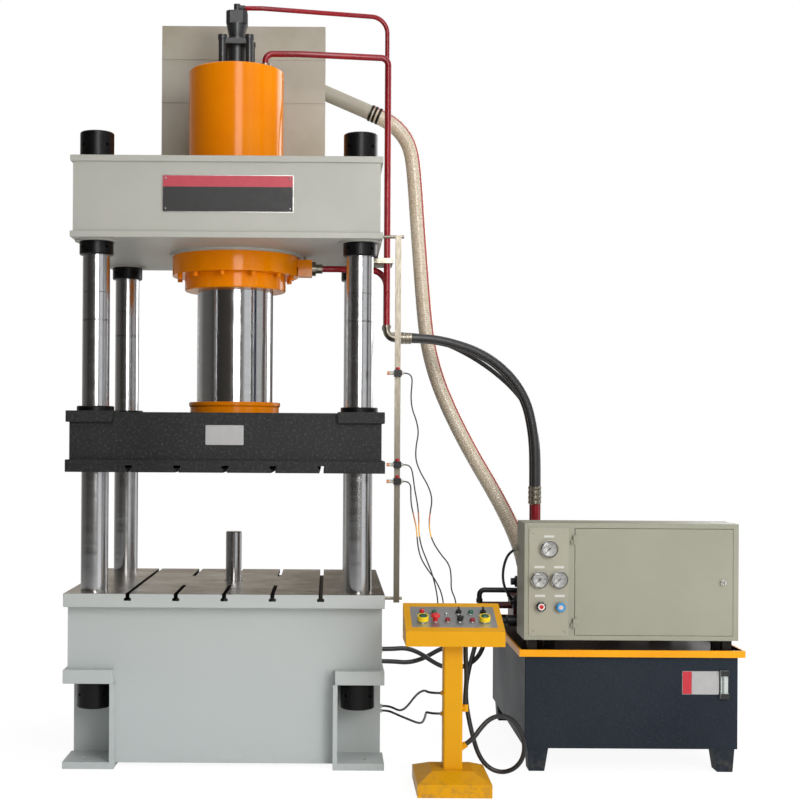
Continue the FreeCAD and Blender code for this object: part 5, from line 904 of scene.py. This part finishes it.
class PRESS_OT_label_plates(bpy.types.Operator):
    """Blank label plates on the moving beam, the tank and the gauge panel"""
    bl_idname = "press.label_plates"
    bl_label = "Label plates"

    def execute(self, context):
        print_white = moulded("label_print_white", linear("#aeadac"), 0.35, coat=0.2)
        print_red = moulded("label_print_red", linear("#c0182c"), 0.35, coat=0.2)
        pale = moulded("engraved_label_pale", linear("#cfcec7"), 0.4)
        rim = bare_metal("label_rim_aluminium", linear("#b3b2b0"), 0.32, linear("#979694"),
                         scale=60.0)
        beam = front_plate("beam_label", -0.087, 0.079, 1.4125, 1.4985, -0.577, 0.0015, 0.004,
                           "panel_metal", print_white)
        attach(beam, "moving_beam")
        front_plate("tank_label_rim", 1.997, 2.158, 0.338, 0.440, -0.590, 0.0012, 0.003,
                    "panel_metal", rim)
        for name, x0, x1, ink in (("red", 1.999, 2.038, print_red),
                                  ("face", 2.040, 2.156, print_white)):
            front_plate("tank_label_" + name, x0, x1, 0.340, 0.438, -0.5912, 0.0008, 0.002,
                        "panel_metal", ink)
        for name, x, z in (("main", 1.412, 1.023), ("left", 1.371, 0.890),
                           ("right", 1.456, 0.890), ("red", 1.374, 0.765),
                           ("blue", 1.459, 0.765)):
            front_plate("strip_label_" + name, x - 0.022, x + 0.022, z - 0.005, z + 0.005,
                        -0.603, 0.0006, 0.002, "panel_metal", pale)
        rivets("gauge_panel_screws", [(x, -0.603, z) for x in (1.3435, 1.478)
                                      for z in (0.611, 1.039)], 0.0042, 0.002, rim)
        return {"FINISHED"}


# ---------------------------------------------------------------- gauges
DIAL_RADIUS, MARKS_RADIUS, NUMBERS_RADIUS = 0.0329, 0.0312, 0.0212
DIAL_Y, PRINT_Y, LENS_Y = -0.6162, -0.6165, -0.6211


def gauge_glass():
    """Clear gauge glass with a faint smear of oil."""
    glass, add, shader = start_material("gauge_glass", Roughness=0.02, IOR=1.5,
                                        Transmission_Weight=1.0)
    smear = add("TexNoise", {"Scale": 60.0})
    wire(shader, {"Roughness": add("MapRange", {"Value": smear, "To Min": 0.01,
                                                "To Max": 0.06})})
    return glass


def disc(x, y, z, depth):
    """A round disc that faces the front."""
    deselect()
    bpy.ops.mesh.primitive_cylinder_add(vertices=64, radius=DIAL_RADIUS, depth=depth,
                                        location=(x, y, z), rotation=(math.pi / 2, 0, 0))
    return bpy.context.object


def dial_print(x, z, marks):
    """A dial's divisions over 270 degrees, a longer one every fifth, and its numbers."""
    pieces = []
    for i in range(marks + 1):
        angle = math.radians(225 - 270 * i / marks)
        length, width = (0.0052, 0.0007) if i % 5 == 0 else (0.003, 0.00035)
        deselect()
        bpy.ops.mesh.primitive_cube_add(size=1)
        tick = bpy.context.object
        tick.scale = (length, 0.0003, width)
        reach = MARKS_RADIUS - length / 2
        tick.rotation_euler = (0, -angle, 0)
        tick.location = (x + reach * math.cos(angle), PRINT_Y, z + reach * math.sin(angle))
        bpy.ops.object.transform_apply(location=True, rotation=True, scale=True)
        pieces.append(tick)
        if i % 10 == 0:
            bpy.ops.object.text_add(rotation=(math.pi / 2, 0, 0))
            number = bpy.context.object
            number.data.body = str(i // 2)
            number.data.size = 0.0072
            number.data.align_x = number.data.align_y = "CENTER"
            number.data.extrude = 0.0001
            number.location = (x + NUMBERS_RADIUS * math.cos(angle), PRINT_Y,
                               z + NUMBERS_RADIUS * math.sin(angle))
            bpy.ops.object.convert(target="MESH")
            bpy.ops.object.transform_apply(location=True, rotation=True, scale=True)
            pieces.append(bpy.context.object)
    return join(pieces)


class PRESS_OT_dials(bpy.types.Operator):
    """White dials with their marks and numbers, and the gauges' glasses"""
    bl_idname = "press.dials"
    bl_label = "Gauge dials"

    def execute(self, context):
        face = moulded("dial_enamel_white", linear("#e4e3df"), 0.4)
        ink = moulded("dial_ink_black", linear("#161616"), 0.5)
        glass = gauge_glass()
        for name, x, z in (("main", 1.412, 0.969), ("left", 1.371, 0.836),
                           ("right", 1.456, 0.836)):
            dial = disc(x, DIAL_Y, z, 0.0004)
            pick(dial, lambda f: f.normal.y < -0.9 or f.normal.z > 0.9 and len(f.vertices) > 8)
            bpy.ops.mesh.inset(thickness=0.0008)
            settle(dial, "dial_" + name, "press", "gauge_case", face)
            settle(dial_print(x, z, context.scene.press_plates.dial_marks),
                   "dial_print_" + name, "press", "gauge_case", ink, smooth=0)
            lens = disc(x, LENS_Y, z, 0.0015)
            pick(lens, lambda f: len(f.vertices) > 8)
            bpy.ops.mesh.bevel(offset=0.0004, segments=2)
            settle(lens, "gauge_lens_" + name, "press", "gauge_case", glass)
        return {"FINISHED"}


# ---------------------------------------------------------------- stage
# Tones of the hall that the chrome mirrors, by heading: 0 is behind the camera, 90 is the right.
HALL = ((-180, "#b3aca2"), (-168, "#c2bdb4"), (-150, "#b4b2ae"), (-122, "#9b9995"),
        (-108, "#6e6c69"), (-74, "#5b5956"), (-58, "#33312e"), (-12, "#45413c"), (0, "#6e6a65"),
        (19, "#7d7974"), (27, "#8d8984"), (34, "#e6e6e6"), (61, "#e0e0e0"), (64, "#1f2438"),
        (69, "#1f2438"), (73, "#c9c9c8"), (96, "#c2c1bf"), (99, "#6a564c"), (105, "#6a564c"),
        (109, "#dadada"), (146, "#dadada"), (153, "#453c36"), (170, "#4a423b"), (180, "#b3aca2"))


def studio_floor():
    """A matt floor that the camera sees white, and that keeps the press's shadow."""
    deselect()
    bpy.ops.mesh.primitive_plane_add(size=60, location=(0, 0, 0))
    floor = bpy.context.object
    floor.name = "studio_floor"
    material, add, shader = start_material("studio_floor_white", Roughness=0.9,
                                           Base_Color=linear("#f2f2f2"))
    path = add("LightPath")
    seen, mirrored = (add("Math", {0: path.outputs[ray], 1: share}, operation="MULTIPLY")
                      for ray, share in (("Is Camera Ray", 0.86), ("Is Glossy Ray", 0.3)))
    share = add("Math", {0: seen, 1: mirrored}, operation="MAXIMUM")
    glow = add("Emission", {"Color": (1, 1, 1, 1), "Strength": 1.08})
    set_surface(material, add("MixShader", {0: share, 1: shader, 2: glow}))
    floor.data.materials.append(material)


def studio_world(context, studio):
    """White where it is seen or mirrored. Its light leans to the right and from above."""
    world = bpy.data.worlds.new("studio_white")
    context.scene.world = world
    world.use_nodes = True
    world.node_tree.nodes.clear()
    add = partial(add_node, world.node_tree)
    path = add("LightPath")
    direct = path.outputs["Is Camera Ray"]
    for other in ("Is Glossy Ray", "Is Transmission Ray"):
        direct = add("Math", {0: direct, 1: path.outputs[other]}, operation="MAXIMUM")
    heading = add("TexCoord").outputs["Generated"]
    share = add("VectorMath", {0: heading, 1: (0.82, -0.2, 0.53)}, operation="DOT_PRODUCT")
    lit = add("Math", {0: share.outputs["Value"], 1: studio.lean, 2: studio.fill},
              operation="MULTIPLY_ADD")
    soft = add("Math", {0: lit, 1: 0.02}, operation="MAXIMUM")
    fill, white = (add("Background", {"Color": (1, 1, 1, 1), "Strength": strength})
                   for strength in (soft, 1.0))
    add("OutputWorld", {"Surface": add("MixShader", {0: direct, 1: fill, 2: white})})


def mirrored_hall():
    """The walls and two windows that only glossy rays see, so that the chrome has its streaks."""
    hall_radius, window_reach = 6.5, 6.1
    deselect()
    bpy.ops.mesh.primitive_cylinder_add(vertices=96, radius=hall_radius, depth=9.0,
                                        end_fill_type="NOTHING", location=(0, 0, 4.0))
    hall = bpy.context.object
    hall.name = "mirrored_hall"
    material, add, _ = start_material("mirrored_hall", Roughness=1.0)
    x, y, _ = add("SeparateXYZ", {0: add("TexCoord").outputs["Object"]}).outputs
    ahead = add("Math", {0: y, 1: -1.0}, operation="MULTIPLY")
    heading = add("Math", {0: x, 1: ahead}, operation="ARCTAN2")
    walls = add("ValToRGB", {0: add("MapRange", {"Value": heading, "From Min": -math.pi,
                                                 "From Max": math.pi})})
    set_stops(walls, [((azimuth + 180) / 360, linear(shade)) for azimuth, shade in HALL])
    set_surface(material, add("Emission", {"Color": walls, "Strength": 1.0}))
    hall.data.materials.append(material)
    screens = [hall]
    for name, azimuth, width, strength in (("window_front", 9, 1.7, 9.0),
                                           ("window_right", 132, 2.6, 4.0)):
        material, add, _ = start_material(name, Roughness=1.0)
        set_surface(material, add("Emission", {"Strength": strength}))
        turn = math.radians(azimuth)
        deselect()
        bpy.ops.mesh.primitive_plane_add(
            size=1, rotation=(math.pi / 2, 0, turn),
            location=(window_reach * math.sin(turn), -window_reach * math.cos(turn), 5.0))
        window = bpy.context.object
        window.name = name
        window.scale = (width, 6.4, 1)
        window.data.materials.append(material)
        screens.append(window)
    for screen in screens:
        screen.visible_camera = screen.visible_diffuse = False
        screen.visible_shadow = screen.visible_transmission = False


def studio_lamps(context, key):
    """Soft lamps around the press, none of which the metal mirrors."""
    for name, place, size, power in (("key", (3.9, -6.4, 3.7), 3.0, key),
                                     ("low", (4.6, -5.2, 0.9), 2.0, key * 0.4),
                                     ("top", (0.9, 0.2, 6.0), 4.0, key * 0.25),
                                     ("rear", (3.5, 5.5, 4.5), 3.0, key * 0.45)):
        lamp = bpy.data.lights.new(name, "AREA")
        lamp.energy = power
        lamp.size = size
        lamp_object = bpy.data.objects.new(name, lamp)
        context.scene.collection.objects.link(lamp_object)
        lamp_object.location = place
        aim = Vector((0.6, 0.0, 1.2)) - Vector(place)
        lamp_object.rotation_euler = aim.to_track_quat("-Z", "Y").to_euler()
        lamp_object.visible_glossy = False


def photo_camera(context, focal_length):
    """The camera where the photograph was taken. Its axis meets the picture off its middle."""
    frame_size, axis_x, axis_y = 800, 331.5, 436.1
    camera = bpy.data.cameras.new("photo_camera")
    camera.lens = focal_length
    camera.sensor_width = 36.0
    camera.shift_x = (frame_size / 2 - axis_x) / frame_size
    camera.shift_y = (axis_y - frame_size / 2) / frame_size
    camera.clip_end = 200
    viewer = bpy.data.objects.new("photo_camera", camera)
    context.scene.collection.objects.link(viewer)
    yaw, pitch, roll = (math.radians(a) for a in (-0.089, 0.179, -0.353))
    turned = (Matrix.Rotation(yaw, 4, "Z") @ Matrix.Rotation(pitch, 4, "X")
              @ Matrix.Rotation(roll, 4, "Y") @ Matrix.Rotation(math.pi / 2, 4, "X"))
    viewer.matrix_world = Matrix.Translation((0.4535, -6.6614, 1.4348)) @ turned
    context.scene.camera = viewer


class PRESS_OT_stage(bpy.types.Operator):
    """Pale floor, soft studio light, dark screens that the chrome mirrors, and the camera"""
    bl_idname = "press.stage"
    bl_label = "Stage"

    def execute(self, context):
        studio = context.scene.press_studio
        studio_floor()
        studio_world(context, studio)
        mirrored_hall()
        studio_lamps(context, studio.key)
        photo_camera(context, studio.focal_length)
        context.scene.view_settings.view_transform = "Standard"
        return {"FINISHED"}


# ---------------------------------------------------------------- panel and registration
OPERATORS = (PRESS_OT_stage, PRESS_OT_hoses, PRESS_OT_cables, PRESS_OT_frame_finish,
             PRESS_OT_cylinder_finish, PRESS_OT_beam_finish, PRESS_OT_pipe_finish,
             PRESS_OT_power_finish, PRESS_OT_pedestal_finish, PRESS_OT_nameplate,
             PRESS_OT_label_plates, PRESS_OT_dials)
GROUPS = {"press_paints": PressPaints, "press_plates": PressPlates, "press_studio": PressStudio}


class PRESS_PT_sidebar(bpy.types.Panel):
    """Lists the press's pieces and the sizes and colours to change"""
    bl_idname = "PRESS_PT_sidebar"
    bl_label = "Hydraulic press"
    bl_space_type = "VIEW_3D"
    bl_region_type = "UI"
    bl_category = "Press"

    def draw(self, context):
        for group in (context.scene.press_paints, context.scene.press_plates,
                      context.scene.press_studio):
            column = self.layout.column()
            for name in group.__annotations__:
                column.prop(group, name)
        for operator in OPERATORS:
            self.layout.operator(operator.bl_idname)


def register():
    for name, group in GROUPS.items():
        bpy.utils.register_class(group)
        setattr(bpy.types.Scene, name, PointerProperty(type=group))
    for operator in OPERATORS:
        bpy.utils.register_class(operator)
    bpy.utils.register_class(PRESS_PT_sidebar)


def unregister():
    bpy.utils.unregister_class(PRESS_PT_sidebar)
    for operator in reversed(OPERATORS):
        bpy.utils.unregister_class(operator)
    for name, group in GROUPS.items():
        delattr(bpy.types.Scene, name)
        bpy.utils.unregister_class(group)


def main():
    register()
    for operator in OPERATORS:
        family, piece = operator.bl_idname.split(".")
        getattr(getattr(bpy.ops, family), piece)()


if __name__ == "__main__":
    main()
